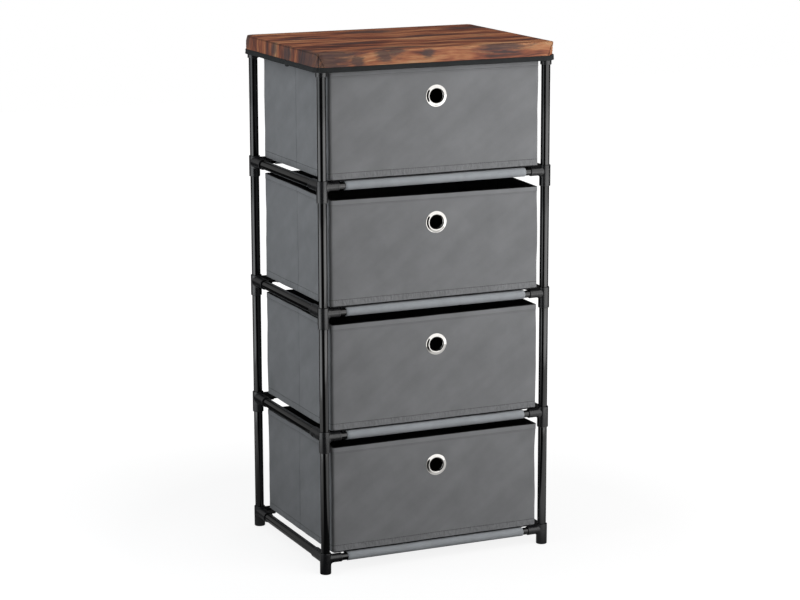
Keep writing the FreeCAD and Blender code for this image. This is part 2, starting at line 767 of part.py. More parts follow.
connectors()
posts()
cross_rails()
side_rails()
shelves()
drawers()
top_board()
top_cover()

doc.recompute()

for obj in doc.Objects:
    if "Invalid" in obj.State or "Error" in obj.State:
        raise RuntimeError(f"{obj.Name} failed: {obj.State}")
for obj in SUB_PARTS:
    if obj.Shape.isNull() or not obj.Shape.isValid() or not obj.Shape.Solids:
        raise RuntimeError(f"{obj.Label} has no valid solid")

os.makedirs("parts", exist_ok=True)
for obj in SUB_PARTS:
    obj.Shape.exportStep(f"parts/{obj.Label}.step")
print(len(SUB_PARTS), "sub-parts")
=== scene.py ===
import bmesh
import bpy
import numpy as np
from mathutils import Matrix, Vector


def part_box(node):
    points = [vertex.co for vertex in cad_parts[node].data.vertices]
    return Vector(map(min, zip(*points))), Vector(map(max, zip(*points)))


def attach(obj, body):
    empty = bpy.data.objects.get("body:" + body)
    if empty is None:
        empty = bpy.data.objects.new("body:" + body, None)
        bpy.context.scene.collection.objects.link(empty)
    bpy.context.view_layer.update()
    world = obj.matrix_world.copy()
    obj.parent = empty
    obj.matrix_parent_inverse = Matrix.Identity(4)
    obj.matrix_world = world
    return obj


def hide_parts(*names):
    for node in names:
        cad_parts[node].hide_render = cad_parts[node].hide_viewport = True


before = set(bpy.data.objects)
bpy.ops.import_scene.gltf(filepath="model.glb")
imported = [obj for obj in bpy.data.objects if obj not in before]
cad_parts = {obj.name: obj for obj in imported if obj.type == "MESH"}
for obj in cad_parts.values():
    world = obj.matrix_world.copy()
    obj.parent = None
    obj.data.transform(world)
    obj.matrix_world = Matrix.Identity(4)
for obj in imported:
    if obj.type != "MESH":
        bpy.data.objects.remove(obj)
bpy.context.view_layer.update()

mm = 0.001


# ---- Corner connectors ----
# Twenty corners injection-moulded in black plastic. Each is a collar that takes the posts from above
# and below, with a branch for a cross rail and a wider one for a side rail, their roots filleted.
# The lowest four are closed below and are the feet; the top four are closed above.

post_radius, rail_radius, collar_radius, bore_gap = 8 * mm, 6.5 * mm, 10 * mm, 0.05 * mm
post_x, post_y = (v - post_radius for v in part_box("post_tubes_tier_1")[1][:2])
LEVELS = [sum(v.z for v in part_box(f"front_rail_{n}")) / 2 for n in range(1, 6)]
LEVEL_NODES = ["foot_connectors", *(f"connectors_level_{n}" for n in (1, 2, 3)), "top_connectors"]
# how deep a closed end is solid, below 0 where that is counted down from its top, and its edge radius
CLOSED_ENDS = {"foot_connectors": (20 * mm, 1.5 * mm), "top_connectors": (-16 * mm, 4 * mm)}
CORNERS = [(sx * post_x, sy * post_y, sx, sy) for sx in (-1, 1) for sy in (-1, 1)]
CROSS_BRANCH = {"radius": 8 * mm, "length": 30 * mm, "bore": rail_radius + bore_gap}
SIDE_BRANCH = {"radius": 9.5 * mm, "length": 45 * mm, "bore": post_radius + bore_gap}
weld_distance, crease_angle = 0.002 * mm, np.radians(40)


def spread(*values):
    """The values, each repeated to their common shape, as the last axis."""
    return np.stack(np.broadcast_arrays(*values), -1)


def face_values(mesh, field, width):
    """One of the mesh's values of each face, as rows."""
    values = np.empty(len(mesh.polygons) * width)
    mesh.polygons.foreach_get(field, values)
    return values.reshape(-1, width)


def skin(name, patches, finish, wall=None, offset=-1.0):
    """A mesh object in one finish, from patches of points.

    A patch is points[..., rows, columns, xyz], or a dict with points and, where it has them,
    flat[..., rows, columns, uv] and keep[rows - 1, columns - 1] for the cells that are there. Quads
    join neighbouring points, and points that coincide, as at seams and poles, are welded. A closed
    shell has no wall. An open one is turned so that its faces look away from its middle, and a wall
    above 0 is laid inwards as its thickness, or half to each side with offset 0.
    """
    patches = [patch if isinstance(patch, dict) else {"points": patch} for patch in patches]
    points, quads, flats, first = [], [], [], 0
    for patch in patches:
        grid = patch["points"]
        number = first + np.arange(grid.size // 3).reshape(-1, *grid.shape[-3:-1])
        cells = spread(number[:, :-1, :-1], number[:, :-1, 1:], number[:, 1:, 1:], number[:, 1:, :-1])
        quads.append((cells[:, patch["keep"]] if "keep" in patch else cells).reshape(-1, 4))
        points.append(grid.reshape(-1, 3))
        flat = patch.get("flat", np.zeros(2))
        flats.append(np.broadcast_to(flat, grid.shape[:-1] + (2,)).reshape(-1, 2))
        first += grid.size // 3
    points, quads, flats = (np.concatenate(v) for v in (points, quads, flats))
    mesh = bpy.data.meshes.new(name)
    mesh.vertices.add(len(points))
    mesh.vertices.foreach_set("co", points.ravel())
    mesh.loops.add(quads.size)
    mesh.loops.foreach_set("vertex_index", quads.ravel())
    mesh.polygons.add(len(quads))
    mesh.polygons.foreach_set("loop_start", np.arange(0, quads.size, 4))
    mesh.update(calc_edges=True)
    mesh.polygons.foreach_set("use_smooth", np.ones(len(quads), bool))
    if any("flat" in patch for patch in patches):
        mesh.uv_layers.new(name="flat").data.foreach_set("uv", flats[quads.ravel()].ravel())
    mesh.materials.append(finish)
    work = bmesh.new()
    work.from_mesh(mesh)
    bmesh.ops.remove_doubles(work, verts=work.verts, dist=weld_distance)
    if wall is None:
        bmesh.ops.recalc_face_normals(work, faces=work.faces)
    work.to_mesh(mesh)
    work.free()
    if wall is not None:
        normal, centre, area = (face_values(mesh, *f) for f in (("normal", 3), ("center", 3), ("area", 1)))
        if (area * normal * (centre - (area * centre).sum(0) / area.sum())).sum() < 0:
            mesh.flip_normals()
    mesh.set_sharp_from_angle(angle=crease_angle)
    piece = bpy.data.objects.new(name, mesh)
    bpy.context.scene.collection.objects.link(piece)
    if wall:
        solid = piece.modifiers.new("cloth", "SOLIDIFY")
        solid.thickness, solid.offset = wall, offset
        drawn = piece.evaluated_get(bpy.context.evaluated_depsgraph_get())
        piece.data = bpy.data.meshes.new_from_object(drawn)
        piece.modifiers.clear()
    return piece


def stands_for(piece, body, slot, *nodes):
    """The piece moves with a body and replaces CAD nodes, which it hides. The slot is not used."""
    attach(piece, body)
    if nodes:
        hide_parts(*nodes)
    return piece


def rounded(corners, radii, steps=5):
    """A closed outline through corners, each one replaced by a parabola between the points at its
    radius (at most 0.45 of a side) along its two sides."""
    corners = np.asarray(corners, float)
    radii = np.broadcast_to(np.asarray(radii, float), len(corners))[:, None]
    ends = []
    for step in (1, -1):
        side = np.roll(corners, step, 0) - corners
        length = np.linalg.norm(side, axis=1, keepdims=True)
        ends.append(corners + side / length * np.minimum(radii, 0.45 * length))
    t = np.linspace(0, 1, steps)[None, :, None]
    curve = (1 - t) ** 2 * ends[0][:, None] + 2 * t * (1 - t) * corners[:, None] + t**2 * ends[1][:, None]
    curve = curve.reshape(-1, corners.shape[1])
    return np.vstack([curve, curve[:1]])


# the directions across, up and along of a shape turned round each axis
AXES = {"x": np.eye(3)[[1, 2, 0]], "y": np.eye(3)[[2, 0, 1]], "z": np.eye(3)}


def turned(profile, centre, axis="z", steps=48):
    """A turned shape: the profile's points (radius, height) go round the axis through centre."""
    across, up, along = AXES[axis]
    turn = np.linspace(0, 2 * np.pi, steps + 1)
    ring = np.cos(turn)[:, None] * across + np.sin(turn)[:, None] * up
    return np.asarray(centre) + profile[:, 0, None, None] * ring + profile[:, 1, None, None] * along


def collar(x, y, low, high, depth=0.0, edge=0.0):
    """A ring round the post from low to high with rounded edges. A closed end is solid for its depth,
    upwards from a foot's sole or, with a depth below 0, down from a cap, and has its own edge radius."""
    bore, lip = post_radius + bore_gap, 0.7 * mm
    if depth:
        end, mouth = (low, high) if depth > 0 else (high, low)
        corners = [(0, end), (collar_radius, end), (collar_radius, mouth), (bore, mouth),
                   (bore, end + depth), (0, end + depth)]
        outline = rounded(corners, [0, edge, lip, lip / 2, 0, 0])[:-1]
    else:
        corners = [(collar_radius, low), (collar_radius, high), (bore, high), (bore, low)]
        outline = rounded(corners, [lip, lip, lip / 2, lip / 2])
    return turned(outline, (x, y, 0))


def branch(corner, level, toward, radius, length, bore):
    """A branch from the collar's axis toward a rail: a ring profile round the branch's axis.

    From its mouth, which has a low bead, the circle stays the same to the fillet. There it grows into
    an ellipse that lies on the collar's cylinder, in a quarter arc: the sideways growth goes with
    1 - cos and the way along with 1 - sin of the arc's angle. The upper half has less room to grow.
    """
    fillet, upper_fillet, bead, lip, sunk, bore_wall = np.array([5, 1, 0.15, 0.5, 1.2, 1.4]) * mm
    turn = np.linspace(0, 2 * np.pi, 49)
    across, up = np.cos(turn), np.sin(turn)
    outer, neck, inner_end = radius + bead, length - 3.6 * mm, length - 6 * mm
    mouth = rounded([(length, bore), (length, outer), (length - 3 * mm, outer), (neck, radius),
                     (inner_end, radius), (inner_end, bore)],
                    [0, lip, 0.2 * mm, 0.2 * mm, 0, 0], 4)[4:20]
    root_across = min(collar_radius - 0.3 * mm, radius + 1.2 * mm) * across
    root_up = np.where(up > 0, radius + upper_fillet, radius + fillet) * up
    root_along = np.sqrt(collar_radius**2 - root_across**2)
    angle = np.linspace(0, np.pi / 2, 9)[:, None]
    grown = 1 - np.cos(angle)
    bore_end = spread(length, bore * across, bore * up)[None]
    bore_start = np.sqrt((collar_radius - bore_wall) ** 2 - (bore * across) ** 2)
    rings = np.concatenate([
        bore_end,
        spread(mouth[:, :1], mouth[:, 1:] * across, mouth[:, 1:] * up),
        spread(root_along + fillet * (1 - np.sin(angle)),
               radius * across * (1 - grown) + root_across * grown,
               radius * up * (1 - grown) + root_up * grown),
        spread(root_along - sunk, 0.96 * root_across, 0.96 * root_up)[None],
        spread(bore_start, bore * across, bore * up)[None],
        bore_end,
    ])
    along, upright = np.array([*toward, 0.0]), np.array([0, 0, 1.0])
    return np.array([*corner, level]) + rings @ np.array([along, np.cross(upright, along), upright])


def fill(made, inputs):
    """Gives a node its inputs: a socket is linked, anything else is set as the value."""
    for key, value in inputs.items():
        if isinstance(value, bpy.types.NodeSocket):
            made.id_data.links.new(value, made.inputs[key])
        else:
            made.inputs[key].default_value = value
    return made


def node(tree, kind, inputs=None, **settings):
    """A shader node of a kind with its settings and inputs."""
    made = tree.nodes.new("ShaderNode" + kind)
    for key, value in settings.items():
        setattr(made, key, value)
    return fill(made, inputs or {})


def maths(tree, operation, *values):
    """The result of one step of arithmetic."""
    return node(tree, "Math", dict(enumerate(values)), operation=operation).outputs[0]


def added(tree, value, factor, to):
    """A value times a factor, added to another value."""
    return maths(tree, "MULTIPLY_ADD", value, factor, to)


def vectors(tree, operation, *values):
    """The result of one step with vectors or colours, which is a number for a length or a dot product."""
    made = node(tree, "VectorMath", dict(enumerate(values)), operation=operation)
    return made.outputs["Value" if operation in ("LENGTH", "DOT_PRODUCT") else "Vector"]


def ranged(tree, value, low, high, to_low, to_high):
    """The value carried over from low..high to to_low..to_high, and held beyond the ends."""
    return node(tree, "MapRange", {"Value": value, "From Min": low, "From Max": high, "To Min": to_low,
                                   "To Max": to_high}).outputs[0]


def noise(tree, place, scale, detail=2.0, roughness=0.5):
    """A noise at a place, of one scale or, drawn out, of one for each axis."""
    if isinstance(scale, tuple):
        place, scale = vectors(tree, "MULTIPLY", place, scale), 1.0
    return node(tree, "TexNoise", {"Vector": place, "Scale": scale, "Detail": detail,
                                   "Roughness": roughness}).outputs["Fac"]


def bumps(tree, height, strength, distance):
    """The shading normal of a relief."""
    return node(tree, "Bump", {"Height": height, "Strength": strength, "Distance": distance}).outputs[0]


def effect(name, inputs, outputs):
    """An empty node group with named inputs and outputs, {name: kind}."""
    group = bpy.data.node_groups.new(name, "ShaderNodeTree")
    for way, sockets in (("INPUT", inputs), ("OUTPUT", outputs)):
        for key, kind in sockets.items():
            group.interface.new_socket(name=key, in_out=way, socket_type="NodeSocket" + kind)
    return group, group.nodes.new("NodeGroupInput").outputs, group.nodes.new("NodeGroupOutput")


def clouding():
    """Soft light and dark areas: a broad noise moves the colour up and down by Amount."""
    group, given, result = effect(
        "clouding", {"Vector": "Vector", "Colour": "Color", "Size": "Float", "Amount": "Float"},
        {"Colour": "Color", "Mask": "Float"})
    broad = noise(group, given["Vector"], maths(group, "DIVIDE", 1.0, given["Size"]), 4.0, 0.6)
    factor = added(group, ranged(group, broad, 0.3, 0.7, -1.0, 1.0), given["Amount"], 1.0)
    fill(result, {"Colour": vectors(group, "MULTIPLY", given["Colour"], factor), "Mask": broad})
    return group


CLOUDING = clouding()


def clouded(tree, place, colour, size, amount):
    """The clouding of one colour in a material: its Colour and its Mask."""
    return node(tree, "Group", {"Vector": place, "Colour": (*colour, 1), "Size": size,
                                "Amount": amount}, node_tree=CLOUDING).outputs


def finish(name, look):
    """A material with its Principled shader, whose uniform values are set on its own sockets."""
    made = bpy.data.materials.new(name)
    made.use_nodes = True
    return made, made.node_tree, fill(made.node_tree.nodes["Principled BSDF"], look)


def grained(name, look, colour, clouds, grain, relief, dull=None, flecks=None):
    """A finish with clouds (size, amount) in its colour and a grain (scale, detail, roughness) that
    gives it a relief (strength, distance).

    Where they are given, dull is the roughness in the clouds' dark and light areas, and flecks is the
    shade in the grain's low and high places."""
    made, tree, shader = finish(name, look)
    place = node(tree, "TexCoord").outputs["Object"]
    cloud = clouded(tree, place, colour, *clouds)
    fine = noise(tree, place, *grain)
    base = cloud["Colour"]
    if dull:
        fill(shader, {"Roughness": ranged(tree, cloud["Mask"], 0.3, 0.7, *dull)})
    if flecks:
        base = vectors(tree, "MULTIPLY", base, ranged(tree, fine, 0.35, 0.65, *flecks))
    fill(shader, {"Base Color": base, "Normal": bumps(tree, fine, *relief)})
    return made


# spark-eroded: a fine grain, a slight cloudiness and duller patches
PLASTIC = grained("moulded_plastic", {"IOR": 1.55}, (0.008, 0.008, 0.009), clouds=(0.012, 0.18),
                  grain=(2600.0, 2.0), relief=(0.1, 0.0002), dull=(0.24, 0.34))

for step, (cad_node, level) in enumerate(zip(LEVEL_NODES, LEVELS)):
    low, high = (v.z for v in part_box(cad_node))
    patches = []
    for x, y, sx, sy in CORNERS:
        patches += [
            collar(x, y, low, high, *CLOSED_ENDS.get(cad_node, ())),
            branch((x, y), level, (-sx, 0), **CROSS_BRANCH),
            branch((x, y), level, (0, -sy), **SIDE_BRANCH),
        ]
    stands_for(skin(f"corners_{step}", patches, PLASTIC), "frame", "connector", cad_node)


# ---- Posts ----
# Steel tube, 16 mm across with a 0.8 mm wall, cut to one storey and powder-coated gloss black.
# Each one is pushed into the collar below it and the collar above it.

tube_wall, tube_edge = 0.8 * mm, 0.25 * mm
# orange peel too fine to see from afar, with slightly duller areas
PAINT = grained("black_paint", {"IOR": 1.6}, (0.0018, 0.0018, 0.002), clouds=(0.03, 0.25),
                grain=(420.0, 2.0), relief=(0.04, 0.0004), dull=(0.08, 0.14))


def coated_tube(axis, centre, low, high, radius):
    """A tube: a thin ring profile with softened ends, turned round its axis."""
    bore = radius - tube_wall
    return turned(rounded([(radius, low), (radius, high), (bore, high), (bore, low)], tube_edge, 4),
                  centre, axis, 56)


for storey in range(1, 5):
    low, high = (v.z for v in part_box(f"post_tubes_tier_{storey}"))
    tubes = [coated_tube("z", (x, y, 0), low, high, post_radius) for x, y, _, _ in CORNERS]
    stands_for(skin(f"posts_storey_{storey}", tubes, PAINT), "frame", "post_tube",
               f"post_tubes_tier_{storey}")


# ---- Rails ----
# The same coated steel tube: 13 mm for the cross rails, which the shelves' sleeves are slipped on, and
# 16 mm for the side rails. Their ends sit in the branches.

for level, height in enumerate(LEVELS, 1):
    for side, y in (("front", -post_y), ("rear", post_y)):
        low, high = (v.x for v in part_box(f"{side}_rail_{level}"))
        tube = coated_tube("x", (0, y, height), low, high, rail_radius)
        stands_for(skin(f"{side}_cross_rail_{level}", [tube], PAINT), "frame", "rail_tube",
                   f"{side}_rail_{level}")

for side, x in (("left", -post_x), ("right", post_x)):
    low, high = (v.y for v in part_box(f"{side}_side_rails"))
    tubes = [coated_tube("y", (x, 0, height), low, high, post_radius) for height in LEVELS]
    stands_for(skin(f"{side}_rails", tubes, PAINT), "frame", "rail_tube", f"{side}_side_rails")


# ---- Shelves ----
# A sheet of light grey non-woven fabric with a sleeve sewn along its front and its rear edge. The
# sleeves are slipped on two cross rails, which hold the sheet taut under the drawer.

shelf_cloth, sleeve_gap, seam_reach, seam_end = 0.9 * mm, 0.3 * mm, 20 * mm, 5 * mm
shelf_sag, waist_share = 1.1 * mm, 0.009
stitch_pitch, shelf_stitch = 4.2 * mm, 3 * mm


def lengths(points):
    """How far along a line of points each one lies."""
    return np.r_[0, np.cumsum(np.linalg.norm(np.diff(points, axis=0), axis=1))]


def unevenness(points, size, seed, waves=24):
    """Soft random swelling with a spread of 1: the sum of plane waves in random directions, with
    lengths near size and random phases."""
    rng = np.random.default_rng(seed)
    direction = rng.normal(size=(waves, 3))
    direction *= (2 * np.pi / (size * rng.uniform(0.7, 1.6, waves)) /
                  np.linalg.norm(direction, axis=1))[:, None]
    return np.cos(points @ direction.T + rng.uniform(0, 2 * np.pi, waves)).sum(-1) / (waves / 2) ** 0.5


def shelf_profile(radius):
    """The sheet's path in (y, z) from the front hem's end to the rear one, with z from the rails' axis.

    Under each rail the cloth runs straight from the seam to where it touches the rail's sleeve circle,
    goes round the outside of the rail to its top, and from there across to the other rail.
    """
    seam = np.array([seam_reach, radius - shelf_cloth])
    leave = np.arctan2(seam[1], seam[0]) - np.arccos(radius / np.linalg.norm(seam))
    turn = np.linspace(leave + 2 * np.pi, np.pi / 2, 26)
    loop = np.vstack([seam + (seam_end, 0), seam, radius * spread(np.cos(turn), np.sin(turn))])
    under = [np.linspace(loop[k], loop[k + 1], 5)[:-1] for k in (0, 1)]
    loop = np.vstack([*under, loop[2:]])
    across = np.linspace(0, 1, 72)[1:-1]
    sheet = spread(-post_y + 2 * post_y * across, radius - shelf_sag * np.sin(np.pi * across) ** 0.8)
    return np.vstack([loop + (-post_y, 0), sheet, loop[::-1] * (-1, 1) + (post_y, 0)])


def threads(start, end, outward, thickness=0.28 * mm):
    """Stitches, one from each start to its end: six-sided bars that taper to a point at both ends and
    rise a little from the cloth between them."""
    way = end - start
    side = np.cross(outward, way)
    side /= np.linalg.norm(side, axis=1, keepdims=True)
    start, way, side, outward = (a[:, None, None] for a in (start, way, side, outward))
    t = np.array([0, 0.14, 0.5, 0.86, 1])[None, :, None, None]
    width = np.array([0, 1, 1.1, 1, 0])[None, :, None, None] * thickness
    turn = np.linspace(0, 2 * np.pi, 7)[:, None]
    lift = outward * (thickness * (0.5 * np.sin(np.pi * t) - 0.15))
    points = start + t * way + lift + width * (np.cos(turn) * side + np.sin(turn) * outward)
    return {"points": points, "flat": np.zeros(2)}


def nonwoven():
    """Spun-bonded cloth on its flat map in metres: rows of small pressed dots with fibres over them.

    Height is for a Bump node. Shade is near 1 and darker in the dots and between the fibres."""
    group, given, result = effect("nonwoven", {"Vector": "Vector"}, {"Height": "Float", "Shade": "Float"})
    dots = node(group, "TexVoronoi", {"Vector": given["Vector"], "Scale": 820.0, "Randomness": 0.3},
                voronoi_dimensions="2D").outputs["Distance"]
    fibre = noise(group, given["Vector"], (900.0, 260.0, 1.0), 4.0, 0.7)
    height = added(group, fibre, 0.6, ranged(group, dots, 0.12, 0.42, 0.0, 1.0))
    fill(result, {"Height": height, "Shade": ranged(group, height, 0.0, 1.6, 0.9, 1.06)})
    return group


NONWOVEN = nonwoven()


def plain_cloth(name, colour, size, amount, sheen=0.0):
    """Non-woven cloth of one colour: the cloth's pattern on the flat map, clouding on the piece."""
    made, tree, shader = finish(name, {"Roughness": 0.9, "Specular IOR Level": 0.15,
                                       "Sheen Weight": sheen})
    where = node(tree, "TexCoord").outputs
    weave = node(tree, "Group", {"Vector": where["UV"]}, node_tree=NONWOVEN).outputs
    cloud = clouded(tree, where["Object"], colour, size, amount)
    fill(shader, {"Base Color": vectors(tree, "MULTIPLY", cloud["Colour"], weave["Shade"]),
                  "Normal": bumps(tree, weave["Height"], 0.5, 0.15 * mm)})
    return made, tree, shader


SHELF_CLOTH = plain_cloth("shelf_cloth", (0.33, 0.347, 0.365), 0.02, 0.07, sheen=0.1)[0]
PALE_THREAD = plain_cloth("pale_thread", (0.24, 0.25, 0.27), 0.004, 0.1)[0]

for number, level in enumerate(LEVELS[:4], 1):
    profile = shelf_profile(rail_radius + sleeve_gap + shelf_cloth / 2)
    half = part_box(f"shelf_{number}")[1].x
    length = lengths(profile)
    across = np.linspace(-1, 1, 59)
    share = np.clip((profile[:, 0] + post_y) / (2 * post_y), 0, 1)
    waist = 1 - waist_share * np.sin(np.pi * share) ** 0.7
    grid = spread(half * across * waist[:, None], profile[:, :1], profile[:, 1:] + level)
    on_top = np.clip((profile[:, 1] - 5 * mm) / (2 * mm), 0, 1)[:, None]
    grid[..., 2] += 0.12 * mm * unevenness(grid, 60 * mm, 40 + number) * on_top
    patch = {"points": grid, "flat": spread(half * across, length[:, None])}
    sheet = skin(f"shelf_cloth_{number}", [patch], SHELF_CLOTH, shelf_cloth, 0)
    stands_for(sheet, "frame", "shelf_fabric", f"shelf_{number}")
    start = np.arange(-half + 3 * mm, half - 6 * mm, stitch_pitch)
    rows = []
    for sy in (-1, 1):
        for up, height in ((1, rail_radius + 1.25 * mm), (-1, rail_radius - 1.0 * mm)):
            line = spread(start, sy * (post_y - seam_reach), level + height)
            rows.append(threads(line, line + (shelf_stitch, 0, 0), np.zeros_like(line) + (0, 0, up)))
    seam = stands_for(skin(f"shelf_seams_{number}", rows, PALE_THREAD), "frame", "shelf_fabric")


# ---- Drawer cloth ----
# Four boxes with no lid, cut and sewn from grey non-woven fabric with stiff boards inside the walls.
# The top edge is hemmed, the lower edge is sewn to a black base, and each side folds at its middle.

DRAWERS = range(1, 5)
UNDERSIDE = {number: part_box(f"drawer_{number}_outer")[0].z for number in DRAWERS}
drawer_low, drawer_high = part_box("drawer_1_outer")
drawer_half, drawer_front, drawer_rear = drawer_high.x, drawer_low.y, drawer_high.y
drawer_wide, drawer_deep, drawer_height = drawer_high - drawer_low
drawer_cloth, sole_cloth, wall_round, drawer_stitch = 0.9 * mm, 0.8 * mm, 5 * mm, 2.9 * mm
hem_depth, hem_thick = 10.3 * mm, 0.35 * mm
hem_line = drawer_height - hem_depth
foot_seam, edge_lift = 12.5 * mm, 2.9 * mm
hole_height = sum(v.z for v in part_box("drawer_1_eyelet")) / 2 - drawer_low.z
hole_radius, hole_square = 14 * mm, 8 * mm
pull_lean = np.radians(2.5)
flat_ring = (21 * mm, 48 * mm)  # round the finger hole: flat within the first, as elsewhere past the second
fold_groove, groove_width, fold_draw, draw_width = 0.9 * mm, 1.2 * mm, 1.0 * mm, 45 * mm
SWELLS = ((0.45 * mm, 120 * mm), (0.13 * mm, 40 * mm))  # how far, and the length of a wave
cell = 4 * mm
# how far the top edge of each front lies above its nominal height, at its left and its right end, mm
TOP_EDGE = {1: (-4.2, -4.2), 2: (-4.0, -7.0), 3: (-1.6, 0.2), 4: (0.2, 0.6)}


def outline(half_x, front, rear, radius, steps=24):
    """A rectangle with round corners, seen from above: x, y, outward normal and the distance along it,
    from the middle of the rear, past the left side, the front and the right side. radius is one for
    all corners or one for each: rear left, front left, front right, rear right."""
    radius = np.broadcast_to(radius, 4)
    centres = np.stack([[-half_x, -half_x, half_x, half_x] + radius * [1, 1, -1, -1],
                        [rear, front, front, rear] + radius * [-1, 1, 1, -1]], -1)
    turn = np.radians([90, 180, 270, 360])[:, None] + np.linspace(0, np.pi / 2, steps)
    normal = spread(np.cos(turn), np.sin(turn)).reshape(-1, 2)
    corner = np.repeat(centres, steps, 0) + np.repeat(radius, steps)[:, None] * normal
    points = np.vstack([(0, rear), corner, (0, rear)])
    return points, np.vstack([(0, 1), normal, (0, 1)]), lengths(points)


wall_points, wall_normals, wall_along = outline(drawer_half, drawer_front, drawer_rear, wall_round)
wall_length = wall_along[-1]
rear_end, side_start, side_end = (float(v) for v in wall_along[[1, 24, 25]])
side_fold = (side_start + side_end) / 2
half_front = drawer_half - wall_round
front_start = wall_length / 2 - half_front


def ease(value, start, end):
    """0 before start, 1 after end, and a smooth step between them."""
    t = np.clip((value - start) / (end - start), 0, 1)
    return t * t * (3 - 2 * t)


def bell(value, middle, half_width):
    """A bell curve that is 1 at middle."""
    return np.exp(-(((value - middle) / half_width) ** 2))


def drawer_wall(number, along, height, inset=0.0):
    """Points on a drawer's wall and their outward direction.

    along runs round the box, height is above the drawer's underside, inset is the depth below the outer
    face. The cloth swells a little at random, draws in at each side's fold and thickens at the hem, and
    the lower edge is lifted, most at the front. The top edge is lower or tilted at the front, which
    fades downwards with the height's power 2.5 and, but for the first drawer, to the rear. Round the
    finger hole the cloth lies flat and leans a little to the left.
    """
    along, height, inset = np.broadcast_arrays(along, height, inset)
    x, y, *normal = (np.interp(along % wall_length, wall_along, column)
                     for column in (*wall_points.T, *wall_normals.T))
    normal = np.stack(normal, -1)
    normal /= np.linalg.norm(normal, axis=-1, keepdims=True)
    left, right = (v * mm for v in TOP_EDGE[number])
    rear_share = np.clip((y - drawer_front) / (drawer_rear - drawer_front), 0, 1)
    right_share = (x + drawer_half) / (2 * drawer_half)
    tilt = left if number == 1 else (left + (right - left) * right_share) * (1 - rear_share)
    lift = edge_lift * (0.35 + 0.65 * ease(-normal[..., 1], 0.2, 0.9))
    up = height + tilt * (height / drawer_height) ** 2.5 + lift * np.clip(1 - height / (25 * mm), 0, 1)
    place = spread(x, y, UNDERSIDE[number] + up)
    swell = sum(depth * unevenness(place, size, 7 * number + k) for k, (depth, size) in enumerate(SWELLS))
    across = along - wall_length / 2
    near_hole = 1 - ease(np.hypot(across, height - hole_height), *flat_ring)
    swell += near_hole * (np.tan(pull_lean) * across - swell)
    fold = np.minimum(abs(along - side_fold), abs(wall_length - along - side_fold))
    below_hem = 1 - ease(height, drawer_height - 12 * mm, drawer_height - 9 * mm)
    swell -= fold_groove * bell(fold, 0, groove_width) * ease(height, 9 * mm, 14 * mm) * below_hem
    swell -= fold_draw * np.exp(-fold / draw_width) * ease(height, 0, 30 * mm)
    hem = hem_thick * ease(height, hem_line - 0.5 * mm, hem_line)
    outward = swell + np.where(inset < 0.5 * mm, hem, 0) - inset
    place[..., :2] += normal * outward[..., None]
    return place, spread(*np.moveaxis(normal, -1, 0), 0.0)


def round_hole(points, across, up, reach=28 * mm):
    """Draws a grid of cells apart round a hole in the plane y: squares round the centre become circles.

    across and up are each point's distances from the hole's centre. From the hole's square, which
    becomes its circle, the shape eases back to the grid's own squares at reach."""
    square = np.maximum(abs(across), abs(up))
    distance = np.maximum(np.hypot(across, up), 1e-9)
    share = np.clip((square - hole_square) / (reach - hole_square), 0, 1)[..., None]
    moved = ((square > hole_square - 0.1 * mm) & (square < reach))[..., None]
    target = spread(across / distance, up / distance) * hole_radius
    now = spread(across, up)
    points[..., [0, 2]] += np.where(moved, target * (1 - share) + now * share - now, 0)
    return points


# the wall's grid, closer at the corners, the folds and the hem: places round it and heights
columns = np.unique(np.round(np.concatenate([
    np.linspace(0, half_front, 50), wall_along[1:25:4], np.linspace(side_start, side_end, 77),
    side_fold + mm * np.array([-3.2, -2.2, -1.4, -0.7, 0.7, 1.4, 2.2, 3.2]),
    wall_along[25:49:4], front_start + np.arange(0, 50) * cell,
]), 7))
columns = columns[np.r_[True, np.diff(columns) > 0.3 * mm]]
columns = np.concatenate([columns, wall_length - columns[::-1][1:]])
rows = np.concatenate([np.arange(4, 180, 4), [180, 181.3, 181.7, 182.1, 184, 188, 191, 192.4]]) * mm


def with_finger_hole(grid, places, heights):
    """A wall's patch whose grid is drawn apart round the finger hole in the front. The cells inside the
    hole's square are left out."""
    on_front = abs(places - wall_length / 2) < half_front + mm
    across = np.where(on_front, places - wall_length / 2, 1.0)
    up = heights - hole_height
    grid = round_hole(grid, *np.broadcast_arrays(across, up[:, None]))
    across, up = ((v[:-1] + v[1:]) / 2 for v in (across, up))
    keep = ~((abs(across) < hole_square) & (abs(up)[:, None] < hole_square))
    return {"points": grid, "keep": keep, "flat": spread(places, heights[:, None])}


def lined(tree, shade, value, at, half, change):
    """The shade, changed along a line: where the value is within half of at."""
    return added(tree, maths(tree, "COMPARE", value, at, half), change, shade)


